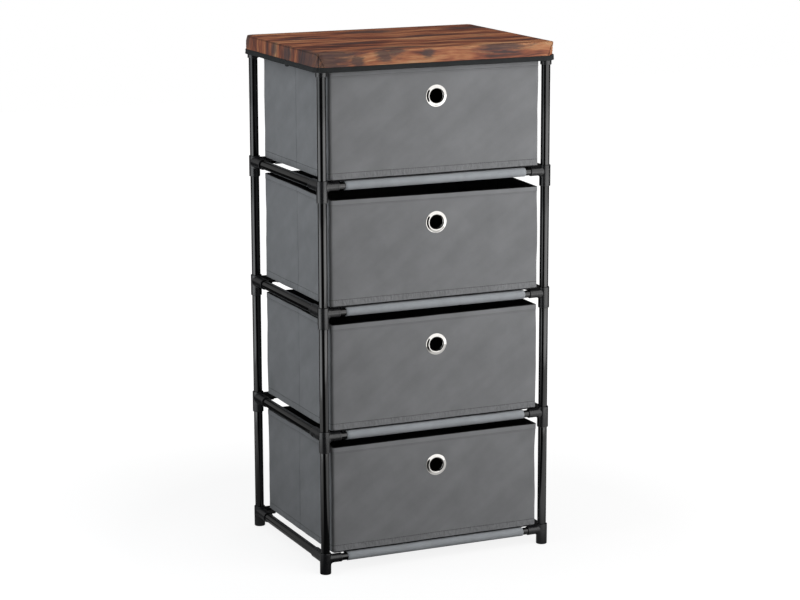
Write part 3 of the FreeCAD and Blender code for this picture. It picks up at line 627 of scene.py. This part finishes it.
def drawer_fabric():
    """Grey non-woven on the wall's map, whose first axis runs round the box and second one up it.

    The hem at the top is a shade lighter with a faint line under it, and painted shade darkens the side's
    fold.
    Above the lower edge a seam draws the cloth into short slanting puckers, uneven in width and depth,
    whose colour carries their painted shade, and wide clouds and the painted shade of long soft crease
    lines, which rise slantwise, lie over it all."""
    made, tree, shader = plain_cloth("drawer_cloth", (0.21, 0.213, 0.219), 0.045, 0.065, sheen=0.06)
    base, relief = (shader.inputs[key].links[0].from_socket for key in ("Base Color", "Normal"))
    flat = node(tree, "TexCoord").outputs["UV"]
    round_it, height, _ = node(tree, "SeparateXYZ", {"Vector": flat}).outputs

    def slanted(vector, angle):
        return node(tree, "VectorRotate", {"Vector": vector, "Angle": angle}).outputs[0]

    # painted shade of long soft crease lines, which the cloth's shape doesn't have
    crease_shade = noise(tree, slanted(flat, -0.62), (6.0, 34.0, 1.0))
    wander = noise(tree, slanted(vectors(tree, "MULTIPLY", flat, (210.0, 90.0, 1.0)), 0.35), 1.0)
    near_foot = ranged(tree, height, foot_seam + 3 * mm, foot_seam - 2 * mm, 0.0, 1.0)
    pucker = maths(tree, "MULTIPLY", ranged(tree, wander, 0.35, 0.65, -1.0, 1.0), near_foot)
    shade = ranged(tree, height, hem_line, hem_line + 0.6 * mm, 1.0, 1.07)
    shade = lined(tree, shade, height, hem_line - 0.4 * mm, 0.9 * mm, -0.1)
    # painted shade in the crease of each side's fold
    for fold in (side_fold, wall_length - side_fold):
        shade = lined(tree, shade, round_it, fold, 0.8 * mm, -0.3)
    # the puckers' colour follows their relief, lighter on the ridges and darker in the hollows: painted
    # shade
    shade = lined(tree, added(tree, pucker, 0.05, shade), height, foot_seam, 0.7 * mm, -0.22)
    shade = maths(tree, "MULTIPLY", shade, ranged(tree, crease_shade, 0.3, 0.7, 0.945, 1.055))
    folds = node(tree, "Bump", {"Height": pucker, "Strength": 0.8, "Distance": 0.0005, "Normal": relief})
    fill(shader, {"Base Color": vectors(tree, "MULTIPLY", base, shade), "Normal": folds.outputs[0]})
    return made


GREY_CLOTH = drawer_fabric()
BLACK_CLOTH = plain_cloth("black_cloth", (0.014, 0.014, 0.015), 0.03, 0.2, sheen=0.05)[0]
GREY_THREAD = plain_cloth("grey_thread", (0.06, 0.061, 0.064), 0.004, 0.1)[0]


def to_centre(ring, shares):
    """Rows that draw a ring in to its centre, each by its share of the way, which closes a flat base."""
    middle = (ring.min(0) + ring.max(0)) / 2
    return middle + (ring - middle) * (1 - np.asarray(shares))[:, None, None]


def laid_flat(points):
    """A patch whose flat map is its view from above."""
    return {"points": points, "flat": points[..., :2]}


for number in DRAWERS:
    body, outer = f"drawer_{number}", f"drawer_{number}_outer"
    heights = np.concatenate([rows, [drawer_height - 0.25 * mm]])
    grid, _ = drawer_wall(number, columns[None], heights[:, None])
    # the lower edge, turned in
    lip_in = np.array([2.2, 1.3, 0.5, 0.0, 0.0])[:, None] * mm
    lip_up = np.array([0.8, 0.25, 0.0, 0.35, 1.6])[:, None] * mm
    lip, _ = drawer_wall(number, columns[None], lip_up, lip_in)
    patch = with_finger_hole(np.concatenate([lip, grid]), columns, np.r_[lip_up[:, 0], heights])
    walls = skin(f"{body}_cloth", [patch], GREY_CLOTH, drawer_cloth)

    # the base stands up a little way inside the walls
    sole_up = np.array([9.0, 3.0, 1.0, 0.3, 0.3])[:, None] * mm
    sole_in = np.array([1.1, 1.1, 1.3, 2.2, 5.0])[:, None] * mm
    sole, _ = drawer_wall(number, columns[None], sole_up, sole_in)
    sole[..., 2] = UNDERSIDE[number] + sole_up
    sole = np.concatenate([sole, to_centre(sole[-1], [0.1, 0.4, 0.7, 1.0])])
    base = skin(f"{body}_sole", [laid_flat(sole)], BLACK_CLOTH, sole_cloth)

    start = np.arange(0, wall_length - 1 * mm, stitch_pitch)
    lines = []
    for height in (hem_line + 1.8 * mm, foot_seam):
        (a, out), (b, _) = (drawer_wall(number, s, height) for s in (start, start + drawer_stitch))
        lines.append(threads(a, b, out, 0.3 * mm))
    seams = skin(f"{body}_seams", lines, GREY_THREAD)
    stands_for(walls, body, "drawer_fabric", outer)
    stands_for(base, body, "lining_fabric", outer)
    stands_for(seams, body, "drawer_fabric")


# ---- Drawer lining ----
# A thin black non-woven box inside the boards. It is folded over their top edges and sewn to the grey
# cloth there, and its floor lies under the loose base board.

lining_cloth, lining_inset, lining_floor = 0.5 * mm, 3.0 * mm, 1.4 * mm

for number in DRAWERS:
    body = f"drawer_{number}"
    rim = np.array([(0.95, 1.0), (1.05, 0.35), (1.5, 0.12), (2.4, 0.12), (2.85, 0.35), (3.0, 1.2)]) * mm
    down = np.concatenate([drawer_height - rim[:, 1], np.arange(188, 0, -4) * mm,
                           [2.2 * mm, lining_floor]])
    inset = np.r_[rim[:, 0], np.full(len(down) - len(rim) - 1, lining_inset), 3.6 * mm]
    grid, _ = drawer_wall(number, columns[None], down[:, None], inset[:, None])
    grid[-1, :, 2] = UNDERSIDE[number] + lining_floor
    floor = to_centre(grid[-1], [0.0, 0.03, 0.3, 0.65, 1.0])
    lining = skin(f"{body}_inside", [with_finger_hole(grid, columns, down), laid_flat(floor)],
                  BLACK_CLOTH, lining_cloth)
    stands_for(lining, body, "lining_fabric", f"{body}_lining")


# ---- Drawer boards ----
# Grey chipboard, 2 mm thick, between the cloth and the lining: one in the front with a hole for the
# eyelet, one in the rear, and two in each side, parted where the side folds.

board_thickness, board_inset, fold_gap = 2 * mm, 0.95 * mm, 1 * mm
BOARD_ROWS = np.concatenate([[2.2], np.arange(4, 192, 4), [192.0]]) * mm
# flecks of recycled fibre in a rough matt sheet
CHIPBOARD = grained("chipboard", {"Roughness": 0.95}, (0.24, 0.21, 0.17), clouds=(0.02, 0.1),
                    grain=(900.0, 3.0), relief=(0.3, 0.0003), flecks=(0.8, 1.15))


def wall_board(number, piece, cad_node, spans):
    """Boards inside a drawer's wall: each follows the wall from one place along it to another. The one
    across the front's middle has the finger hole."""
    patches = []
    for start, end in spans:
        inside = columns[(columns > start + 0.5 * mm) & (columns < end - 0.5 * mm)]
        places = np.r_[start, inside, end]
        inset = board_inset + board_thickness / 2
        grid, _ = drawer_wall(number, places[None], BOARD_ROWS[:, None], inset)
        patch = with_finger_hole(grid, places, BOARD_ROWS)
        patches.append({"points": patch["points"], "keep": patch["keep"]})
    board = skin(f"drawer_{number}_{piece}", patches, CHIPBOARD, board_thickness, 0)
    stands_for(board, f"drawer_{number}", "stiffener_board", f"drawer_{number}_{cad_node}")


left_boards = [(side_start + fold_gap, side_fold - fold_gap), (side_fold + fold_gap, side_end - fold_gap)]
right_boards = [(wall_length - b, wall_length - a) for a, b in left_boards]
for number in DRAWERS:
    wall_board(number, "front_panel", "front_board", [(front_start, wall_length - front_start)])
    wall_board(number, "rear_panel", "rear_board", [(0, rear_end), (wall_length - rear_end, wall_length)])
    wall_board(number, "side_panels", "side_boards", left_boards + right_boards)


# ---- Drawer floors ----
# A loose board wrapped in black non-woven fabric. It lies on the drawer's floor and keeps the box
# square; lifting it out lets the sides fold in.


def slab(low, high, corner, edge, swelling=0.0):
    """A slab with round corners: a half-oval edge profile, edge deep, carried round its outline, with
    both faces drawn in to their centres. The upper face may swell a little."""
    points, normal, along = outline(high.x, low.y, high.y, corner, 8)
    places = np.unique(np.concatenate([along, np.arange(0, along[-1], 8 * mm)]))
    x, y, nx, ny = (np.interp(places, along, c) for c in (*points.T, *normal.T))
    turn = np.linspace(-np.pi / 2, np.pi / 2, 9)[:, None]
    inset, height = edge * (1 - np.cos(turn)), (low.z + high.z + (high.z - low.z) * np.sin(turn)) / 2
    side = spread(x - nx * inset, y - ny * inset, height)
    shares = np.array([0.02, 0.08, 0.2, 0.4, 0.6, 0.8, 1.0])
    top, bottom = to_centre(side[-1], shares), to_centre(side[0], shares)[::-1]
    top[..., 2] += swelling * unevenness(top, 90 * mm, 5)
    top[-1, :, 2] = top[-1, 0, 2]
    return laid_flat(np.concatenate([bottom, side, top]))


for number in DRAWERS:
    board = slab(*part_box(f"drawer_{number}_base_board"), corner=4 * mm, edge=1.5 * mm, swelling=0.25 * mm)
    stands_for(skin(f"drawer_{number}_floor", [board], BLACK_CLOTH), f"drawer_{number}", "base_board",
               f"drawer_{number}_base_board")


# ---- Eyelets ----
# A finger hole edged with a nickel-plated eyelet: a flat rim with a raised ring, whose barrel goes
# through the front and is rolled over a washer inside.

# bright plate with faint turning marks and small differences in polish
NICKEL = grained("nickel", {"Metallic": 1.0}, (0.5, 0.49, 0.47), clouds=(0.006, 0.04),
                 grain=(1500.0, 2.0), relief=(0.04, 0.0001), dull=(0.04, 0.08))
# in mm, as the two profiles: how deep the barrel goes, and the pressed sheet's thickness
barrel_length, eyelet_sheet = 4.2, 0.6


def eyelet_profile(rim=19.5, cone_foot=17.2, crest=14.3, crest_height=2.2, bore=12.0):
    """(radius, distance in front of the cloth) round the pressed sheet, mm: a flat rim, a cone up to the
    ring, the ring's crest as a quarter of an ellipse down to the bore, the barrel, and the roll at its
    rear end; then back along the sheet's other face."""
    turn, roll = np.linspace(0, np.pi / 2, 9), np.linspace(0, np.pi, 9)[1:]
    drop, half_roll = 1 - np.cos(turn), (2.4 + eyelet_sheet) / 2
    inner, outer = bore + eyelet_sheet, bore + half_roll
    return np.vstack([
        [(rim, 0.35), (rim - 0.2, 0.62), (cone_foot + 1.3, 0.75), (cone_foot + 0.9, 0.83),
         (crest + 0.8, crest_height - 0.12)],
        spread(bore + (crest - bore) * np.cos(turn), crest_height - 0.4 * drop - 1.4 * drop**2),
        [(bore, -0.5), (bore, 0.4 - barrel_length)],
        spread(outer - half_roll * np.cos(roll), -barrel_length - np.sin(roll)),
        spread(outer + (half_roll - eyelet_sheet) * np.cos(roll), -barrel_length - 0.45 * np.sin(roll)),
        [(inner, 0.4 - barrel_length), (inner, -0.4), (inner + 0.3, 0.05), (rim, 0.05), (rim, 0.35)],
    ])


def washer_profile(bore=13.2, rim=19.0, thickness=0.75):
    """(radius, distance in front of the cloth) of a pressed washer with a softened rim, mm."""
    front = thickness - barrel_length
    return rounded([(bore, front), (rim, front), (rim, -barrel_length), (bore, -barrel_length)], 0.3)


def leaned(points, centre):
    """The points turned about the upright line through centre, as the cloth round the hole leans."""
    cos, sin = np.cos(pull_lean), np.sin(pull_lean)
    return centre + (points - centre) @ np.array([[cos, -sin, 0], [sin, cos, 0], [0, 0, 1]])


for number in DRAWERS:
    centre, _ = drawer_wall(number, wall_length / 2, hole_height)
    for name, cad_name, profile, steps in (("pull", "eyelet", eyelet_profile(), 72),
                                           ("washer", "eyelet_washer", washer_profile(), 64)):
        ring = leaned(turned(profile * (mm, -mm), centre, "y", steps), centre)
        stands_for(skin(f"drawer_{number}_{name}", [ring], NICKEL), f"drawer_{number}", "eyelet_metal",
                   f"drawer_{number}_{cad_name}")


# ---- Top board ----
# A thin board of brown pressed fibre that lies on the four closed corners and gives the cover its
# shape. Its rear left corner is cut rounder than the others. Only its underside shows, from below.

BOARD_CORNERS = np.array([15, 8, 8, 8]) * mm
FIBREBOARD = grained("fibreboard", {"Roughness": 0.8}, (0.17, 0.1, 0.055), clouds=(0.03, 0.12),
                     grain=(700.0, 4.0, 0.7), relief=(0.25, 0.0002), flecks=(0.75, 1.15))
board = slab(*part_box("top_board"), BOARD_CORNERS, edge=0.5 * mm)["points"]
stands_for(skin("top_sheet", [board], FIBREBOARD), "frame", "top_board", "top_board")


# ---- Cover ----
# A fitted cap of fabric printed like old wood, the grain from left to right. Its skirt is sewn on along
# the top's edge and at the corners, and flares a little down to the bound edge.

cover_cloth, flare = 1 * mm, 2.2 * mm
hem_round, middle_round, skirt_cell = 20 * mm, 13 * mm, 3.5 * mm
rear_left_flare, seam_groove, front_left_groove, pucker_pitch = 2.6 * mm, 0.9 * mm, 1.3 * mm, 5.2 * mm
cover_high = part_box("top_cover")[1]
cover_top, skirt_end = cover_high.z, 891.6 * mm
skirt_depth = cover_top - skirt_end
arc = 16
cover_half = np.array(cover_high[:2]) - flare
cover_outline = (cover_half[0], -cover_half[1], cover_half[1])
square_corners = outline(*cover_outline, 0, arc)[0]
round_corners, cover_normals, cover_along = outline(*cover_outline, hem_round, arc)
cover_length = cover_along[-1]
top_round = np.r_[BOARD_CORNERS[0], np.repeat(BOARD_CORNERS, arc), BOARD_CORNERS[-1]] + cover_cloth
corner_seams = [(cover_along[1 + arc * k] + cover_along[arc + arc * k]) / 2 for k in range(4)]
rear_left_seam, front_left_seam, front_right_seam, _ = corner_seams


def cover_edge(along, depth, proud=0.0):
    """Points on the skirt: along runs round it, depth is below the top, proud is outside the cloth.

    The corners' radius grows with depth, from the board's to the hem's: each point lies between the
    outline with square corners and the one with the hem's radius. The skirt leans out with depth, most
    at the rear left corner, and waves more and more towards its lower edge. A groove marks the seam at
    each corner's middle, with short puckers beside it, and it is deepest at the front left."""
    along, depth, proud = np.broadcast_arrays(along, depth, proud)
    at = along % cover_length
    curves = (*square_corners.T, *round_corners.T, *cover_normals.T, top_round)
    sharp_x, sharp_y, soft_x, soft_y, nx, ny, radius = (np.interp(at, cover_along, c) for c in curves)
    radius = radius + (middle_round - radius) * ease(depth, 3 * mm, 9 * mm)
    radius = radius + (hem_round - radius) * ease(depth, 8 * mm, skirt_depth)
    x, y = (s + (r - s) * radius / hem_round for s, r in ((sharp_x, soft_x), (sharp_y, soft_y)))
    share = np.clip(depth / skirt_depth, 0, 1.1)
    place = spread(x, y, cover_top - depth)
    wave = 0.6 * mm * unevenness(place * (1, 1, 0.2), 75 * mm, 91)
    fine = 0.14 * mm * unevenness(place * (1, 1, 0.4), 16 * mm, 92)
    from_seam = np.min([abs(at - seam) for seam in corner_seams], axis=0)
    deepest = front_left_groove * bell(at, front_left_seam, 6 * mm) * bell(depth, 7 * mm, 7 * mm)
    pucker = np.sin(2 * np.pi * depth / pucker_pitch + 2 * at / (10 * mm))
    out = flare * share**1.2 + (wave + fine) * share**1.5
    out += rear_left_flare * share * bell(at, rear_left_seam, 24 * mm)
    out -= (seam_groove + deepest) * bell(from_seam, 0, 1.1 * mm) * (1 - 0.5 * share)
    out += 0.4 * mm * bell(from_seam, 3.2 * mm, 1.6 * mm)
    out += 0.45 * mm * pucker * bell(from_seam, 0, 6 * mm) * np.clip(depth / (5 * mm), 0, 1)
    outward = spread(nx, ny, 0.0)
    return place + outward * (out + proud)[..., None], outward


def stain_reach():
    """How far a point of the flat map is inside an oval: 1 at its centre, 0 on its edge, less outside."""
    group, given, result = effect(
        "stain_reach", {"Vector": "Vector", "Centre": "Vector", "Size": "Vector"}, {"Mask": "Float"})
    off = vectors(group, "SUBTRACT", given["Vector"], given["Centre"])
    far = vectors(group, "LENGTH", vectors(group, "DIVIDE", off, given["Size"]))
    fill(result, {"Mask": maths(group, "SUBTRACT", 1.0, far)})
    return group


STAIN_REACH = stain_reach()
STAINS = [  # centre and half size on the flat cloth, mm: x to the right, y to the rear
    (-208, -172, 66, 30), (-216, -187, 34, 18), (-238, -138, 26, 54), (-158, -186, 16, 14),
    (-104, -178, 18, 17), (-84, -166, 24, 22), (-66, -140, 72, 17), (-20, -180, 13, 10),
    (124, -174, 56, 17), (-234, 26, 15, 16), (-238, -38, 18, 26), (-232, 158, 16, 20),
    (128, -62, 52, 14), (0, 122, 60, 26), (-150, 60, 55, 12), (60, 20, 70, 12), (-110, -40, 60, 12),
    (190, 110, 60, 16), (238, 60, 16, 30), (240, -90, 16, 22), (80, 186, 70, 10), (-140, 184, 40, 12),
]
# painted shade: darker lines along the top's left, rear and right edges, where the cloth turns over
PAINTED_SHADE_LINES = [  # axis of the flat cloth, place and half width on it, m, and how much darker it is there
    ("X", -float(cover_half[0]) - 0.4 * mm, 1.2 * mm, -0.45), ("Y", 0.171, 0.003, -0.55),
    ("X", 0.2245, 0.0022, -0.5),
]
# on the flat cloth, m: where the front strip turns paler with painted light and the left strip changes its
# tone, and the front's skirt begins
FRONT_PAINTED_LIGHT, LEFT_FADE, SKIRT_FADE = (-0.158, -0.176), (-0.226, -0.23), (-0.178, -0.182)
PRINT_NOISES = [  # waves a metre along and across the grain, detail and share of the tone
    (3.4, 26.0, 2.0, 0.44), (9.0, 80.0, 3.0, 0.34), (24.0, 260.0, 3.0, 0.22),
]
WOOD_TONES = [  # from the darkest to the palest: place between them and colour
    (0.0, (0.06, 0.034, 0.032)), (0.2, (0.13, 0.048, 0.034)), (0.42, (0.27, 0.09, 0.05)),
    (0.62, (0.39, 0.155, 0.074)), (0.8, (0.45, 0.215, 0.105)), (1.0, (0.5, 0.285, 0.155)),
]


def mixed(tree, factor, first, second, kind="FLOAT"):
    """The blend from first to second by factor, of numbers or, for the kind RGBA, of colours."""
    one, result = (6, 2) if kind == "RGBA" else (2, 0)
    return node(tree, "Mix", {"Factor": factor, one: first, one + 1: second}, data_type=kind).outputs[result]


def wood_print():
    """Old wood as printed on the cloth, on its flat map, with the grain along the first axis.

    The tone adds three noises that are drawn out along the grain, broad, middle and fine, and goes from
    near black through red brown to tan; a slow noise bends it all. The strip that becomes the skirt's
    front is paler, as painted light, and the one at its left a shade darker. Dark stains have edges frayed
    along the grain, and grain lines lie over them. Painted shade darkens lines along the top's edges and,
    on the skirt, beside the front left seam."""
    made, tree, shader = finish("wood_print_cloth", {"Specular IOR Level": 0.2})
    flat = node(tree, "TexCoord").outputs["UV"]
    axes = node(tree, "SeparateXYZ", {"Vector": flat}).outputs

    def drawn(place, lengthways, crossways, detail, roughness=0.6):
        return noise(tree, place, (lengthways, crossways, 1.0), detail, roughness)

    bend = node(tree, "CombineXYZ", {"Y": added(tree, drawn(flat, 3.5, 7.0, 2.0), 0.036, -0.018)})
    bent = vectors(tree, "ADD", flat, bend.outputs[0])
    # painted light: the skirt's front strip is paler
    tone = ranged(tree, axes["Y"], *FRONT_PAINTED_LIGHT, 0.0, 0.035)
    for lengthways, crossways, detail, part in PRINT_NOISES:
        tone = added(tree, drawn(bent, lengthways, crossways, detail), part, tone)
    tone = maths(tree, "ADD", ranged(tree, axes["X"], *LEFT_FADE, 0.0, -0.01), tone)
    ramp = node(tree, "ValToRGB", {"Fac": ranged(tree, tone, 0.405, 0.615, 0.0, 1.0)})
    stops = ramp.color_ramp.elements
    while len(stops) < len(WOOD_TONES):
        stops.new(0.5)
    for stop, (at, colour) in zip(stops, WOOD_TONES):
        stop.position, stop.color = at, (*colour, 1)

    reach = added(tree, drawn(bent, 9.0, 26.0, 4.0), 2.6, -1.75)
    for middle_x, middle_y, half_long, half_wide in STAINS:
        oval = node(tree, "Group", {"Vector": flat, "Centre": (middle_x * mm, middle_y * mm, 0),
                                    "Size": (half_long * mm, half_wide * mm, 1)}, node_tree=STAIN_REACH)
        reach = maths(tree, "MAXIMUM", reach, oval.outputs[0])
    frayed = added(tree, drawn(bent, 34.0, 170.0, 5.0, 0.72), 2.6, -1.3)
    blotch = ranged(tree, maths(tree, "ADD", reach, frayed), -0.15, 0.5, 0.0, 0.78)
    stained = mixed(tree, blotch, ramp.outputs["Color"], (0.058, 0.048, 0.05, 1), "RGBA")
    grain = ranged(tree, drawn(bent, 26.0, 900.0, 3.0, 0.7), 0.3, 0.7, 0.72, 1.25)
    weave = node(tree, "Group", {"Vector": flat}, node_tree=NONWOVEN).outputs
    shade = maths(tree, "MULTIPLY", grain, weave["Shade"])
    # painted shade along the top's edges
    for axis, at, half, darker in PAINTED_SHADE_LINES:
        shade = lined(tree, shade, axes[axis], at, half, darker)
    # painted shade of the seam's groove at the skirt's front left corner
    diagonal = maths(tree, "SUBTRACT", axes["X"], axes["Y"])
    seam = maths(tree, "COMPARE", diagonal, float(cover_half[1] - cover_half[0]), 1.4 * mm)
    on_skirt = ranged(tree, axes["Y"], *SKIRT_FADE, 0.0, 1.0)
    shade = added(tree, maths(tree, "MULTIPLY", seam, on_skirt), -0.6, shade)
    fill(shader, {"Base Color": vectors(tree, "MULTIPLY", stained, shade),
                  "Roughness": ranged(tree, tone, 0.4, 0.62, 0.55, 0.7),
                  "Normal": bumps(tree, weave["Height"], 0.3, 0.0001)})
    return made


places = np.unique(np.round(np.concatenate([
    np.arange(0, cover_length, skirt_cell), cover_along,
    *(seam + mm * np.linspace(-8, 8, 29) for seam in corner_seams), [cover_length]]), 6))
depths = np.concatenate([[1.5, 2.4, 3.6], np.arange(5, 29, 1.2), [skirt_depth / mm]]) * mm
skirt, _ = cover_edge(places[None], depths[:, None])
edge, out = cover_edge(places, depths[0])
# the rolled edge of the top: in from the skirt and down from the top, from the skirt inwards
ROLL = np.array([(0.3, 0.75), (0.9, 0.25), (1.7, 0.08), (2.3, 0.5), (2.9, 0.42), (3.6, 0.05), (6, 0)]) * mm
shoulder = edge - out * ROLL[::-1, None, :1]
shoulder[..., 2] = cover_top - ROLL[::-1, 1:]
face = to_centre(shoulder[0], [1.0, 0.96, 0.88, 0.78, 0.66, 0.54, 0.42, 0.3, 0.2, 0.12, 0.05])
face[1:, :, 2] += 0.25 * mm * unevenness(face[1:], 120 * mm, 93)
face[0, :, 2] = face[1, :, 2].mean()
hang = np.r_[np.zeros(len(face) + len(shoulder)), depths - depths[0]]
drop = np.concatenate([face, shoulder, np.broadcast_to(edge, skirt.shape)])
patch = {"points": np.concatenate([face, shoulder, skirt]),
         "flat": drop[..., :2] + out[:, :2] * hang[:, None, None]}
cover = skin("wood_print_cover", [patch], wood_print(), cover_cloth)
stands_for(cover, "frame", "cover_fabric", "top_cover")


# ---- Binding ----
# Black tape folded over the skirt's lower edge and sewn through. It is a little thicker than the skirt,
# stands up at the front right corner, and its ends overlap a little in front of the left side's middle.


def tape_cloth():
    """Black woven tape: fine ribs across it, as a sine of the place along it."""
    made, tree, shader = finish("tape_cloth", {"Roughness": 0.8, "Specular IOR Level": 0.3})
    where = node(tree, "TexCoord").outputs
    along = node(tree, "SeparateXYZ", {"Vector": where["UV"]}).outputs["X"]
    rib = maths(tree, "SINE", maths(tree, "MULTIPLY", along, 2 * np.pi / (0.7 * mm)))
    cloud = clouded(tree, where["Object"], (0.016, 0.0175, 0.018), 0.015, 0.15)
    fill(shader, {"Base Color": cloud["Colour"], "Normal": bumps(tree, rib, 0.4, 0.0001)})
    return made


low_edge = skirt_depth + 0.7 * mm
seam_height, seam_proud, tape_stitch = 7.2 * mm, 1.2 * mm, 3 * mm
lap_offset, lap_half = 36 * mm, 5.5 * mm
lap_middle = (cover_along[arc] + cover_along[arc + 1]) / 2 + lap_offset
lapped = np.exp(-(((places - lap_middle) / lap_half) ** 6))
knob = bell(places, front_right_seam, 4.5 * mm)
section = np.array([  # outside the skirt's face, above the tape's lower edge
    (-0.3, 8.3), (0.5, 8.8), (1.0, 8.4), (1.2, 7.4), (1.1, 4.5), (1.3, 2.1), (1.15, 0.8),
    (0.5, 0.1), (-0.5, -0.1), (-1.5, 0.2), (-1.8, 1.2), (-1.7, 4.5), (-1.8, 7.7), (-1.5, 8.4),
    (-1.1, 8.4), (-0.3, 8.3),
]) * mm
depth = low_edge - section[:, 1:] * (1 + 0.2 * lapped + 0.25 * knob) + 2.6 * mm * lapped
grow = np.where(section[:, :1] > 0, 1 + 1.3 * lapped + 2.4 * knob, 1)
tape, _ = cover_edge(places[None], depth, section[:, :1] * grow)
patch = {"points": tape, "flat": spread(places[None], lengths(section)[:, None])}
binding = skin("skirt_binding", [patch], tape_cloth())
stands_for(binding, "frame", "binding", "top_binding")
start = np.arange(0, cover_length - mm, stitch_pitch)
(a, out_a), (b, _) = (cover_edge(s, low_edge - seam_height, seam_proud)
                      for s in (start, start + tape_stitch))
BLACK_THREAD = plain_cloth("black_thread", (0.03, 0.031, 0.033), 0.004, 0.1)[0]
binding_seam = skin("binding_seam", [threads(a, b, out_a, 0.24 * mm)], BLACK_THREAD)
stands_for(binding_seam, "frame", "binding")


# ---- Room, lamps and camera ----
# A white sweep between two large soft boxes that stand upright near the object, one along its front,
# off to the right, and one along its left side, with a diffuse light overhead, in a dark room.

azimuth, elevation, roll = np.radians([-24.278, 11.991, -0.155])
aim, distance = np.array([0.0025, -0.0022, 0.4455]), 4.577
look = np.array([-np.sin(azimuth) * np.cos(elevation), np.cos(azimuth) * np.cos(elevation),
                 -np.sin(elevation)])
level_right = np.array([np.cos(azimuth), np.sin(azimuth), 0])
up = np.cross(level_right, look)
right = np.cos(roll) * level_right + np.sin(roll) * up
up = np.cos(roll) * up - np.sin(roll) * level_right
camera = bpy.data.objects.new("camera", bpy.data.cameras.new("camera"))
camera.data.lens, camera.data.sensor_width = 112.764, 36
camera.matrix_world = Matrix.Translation(aim - distance * look) @ Matrix(
    np.stack([right, up, -look], 1).tolist()).to_4x4()
bpy.context.scene.collection.objects.link(camera)
bpy.context.scene.camera = camera


def room_side():
    """How much light polished parts mirror from the room, by the level direction from the object: a dim
    wall at the rear left, as a soft bell, and next to nothing elsewhere. Lit is 1 where the soft boxes
    stand, from 36 to 105 degrees left and from 22 to 105 degrees right of the camera, and 0 elsewhere."""
    group, given, result = effect("room_side", {"Vector": "Vector"}, {"Wall": "Float", "Lit": "Float"})
    front = (float(np.sin(azimuth)), float(-np.cos(azimuth)), 0.0)
    ahead, aside = (vectors(group, "DOT_PRODUCT", given["Vector"], axis)
                    for axis in (front, level_right.tolist()))
    turn = maths(group, "ARCTAN2", aside, ahead)

    def turning(value, low, high, start, end):
        return ranged(group, value, np.radians(low), np.radians(high), start, end)

    wall = maths(group, "MINIMUM", turning(turn, -175, -130, 0.03, 0.33),
                 turning(turn, -125, -85, 0.33, 0.03))
    lit = maths(group, "MAXIMUM", turning(turn, -42, -30, 1.0, 0.0), turning(turn, 16, 28, 0.0, 1.0))
    near = turning(maths(group, "ABSOLUTE", turn), 99, 111, 1.0, 0.0)
    fill(result, {"Wall": wall, "Lit": maths(group, "MULTIPLY", lit, near)})
    return group


ROOM_SIDE = room_side()


def sweep():
    """White paper that the camera sees nearly evenly bright, a little less so round the object, where
    it also takes soft shadows. For polished parts it is near black, and it glows as a painted reflection
    of the soft boxes only near the lit sides of the room, more in front of the object than under and behind
    it."""
    made, tree, shader = finish("white_floor", {"Roughness": 0.9, "Emission Color": (1, 1, 1, 1)})
    place = node(tree, "TexCoord").outputs["Object"]
    away = vectors(tree, "LENGTH", place)
    ahead = node(tree, "SeparateXYZ", {"Vector": place}).outputs["Y"]
    side = node(tree, "Group", {"Vector": place}, node_tree=ROOM_SIDE).outputs["Lit"]
    close = ranged(tree, ahead, -0.3, -0.18, 0.9, 0.2)
    # painted reflection: the paper glows for glossy rays only, toward the soft boxes
    painted_reflection = maths(tree, "MULTIPLY", side, ranged(tree, away, 0.4, 1.1, close, 1.0))
    ray = node(tree, "LightPath").outputs
    seen = maths(tree, "ADD", ray["Is Camera Ray"], ray["Is Transmission Ray"])
    seen = maths(tree, "MULTIPLY", seen, ranged(tree, away, 0.5, 1.3, 0.86, 1.05))
    # near black in what polished parts mirror, so that only the painted reflection shows there
    paper = mixed(tree, ray["Is Glossy Ray"], (0.18, 0.18, 0.18, 1), (0.02, 0.02, 0.02, 1), "RGBA")
    fill(shader, {"Base Color": paper,
                  "Emission Strength": added(tree, ray["Is Glossy Ray"], painted_reflection, seen)})
    return made


floor_line = np.linspace(-6, 6, 25)
skin("floor", [spread(floor_line, floor_line[:, None], 0.0)], sweep(), wall=0)

LAMPS = {  # middle, direction it faces, width, height, watts, colour; polished parts don't mirror overhead
    "front_box": ((0.62, -0.98, 1.15), (-0.239, 0.971, 0), 1.51, 2.1, 19.0, (1, 1, 1)),
    "left_box": ((-0.952, -0.05, 1.05), (1, 0, 0), 0.72, 1.9, 7.4, (0.92, 0.965, 1.0)),
    "overhead": ((0.0, 0.25, 2.3), (0, -0.05, -1), 1.2, 0.9, 8.0, (1, 1, 1)),
}
for name, (place, facing, width, height, watts, colour) in LAMPS.items():
    lamp = bpy.data.objects.new(name, bpy.data.lights.new(name, "AREA"))
    lamp.data.shape, lamp.data.size, lamp.data.size_y = "RECTANGLE", width, height
    lamp.data.energy, lamp.data.color = watts, colour
    lamp.location = place
    lamp.rotation_euler = Vector(facing).to_track_quat("-Z", "Y").to_euler()
    lamp.visible_glossy = name != "overhead"
    bpy.context.scene.collection.objects.link(lamp)

world = bpy.data.worlds.new("room")
bpy.context.scene.world = world
world.use_nodes = True
tree = world.node_tree
ray = node(tree, "LightPath").outputs
direction = node(tree, "TexCoord").outputs["Generated"]
wall = node(tree, "Group", {"Vector": direction}, node_tree=ROOM_SIDE).outputs["Wall"]
# dim for diffuse light, the room's wall for what polished parts mirror, and white for the camera
room_light, white = 0.17, 1.0
seen = maths(tree, "MAXIMUM", ray["Is Camera Ray"], ray["Is Transmission Ray"])
strength = mixed(tree, seen, mixed(tree, ray["Is Glossy Ray"], room_light, wall), white)
fill(tree.nodes["Background"], {"Color": (1, 1, 1, 1), "Strength": strength})
bpy.context.scene.view_settings.view_transform = "Standard"
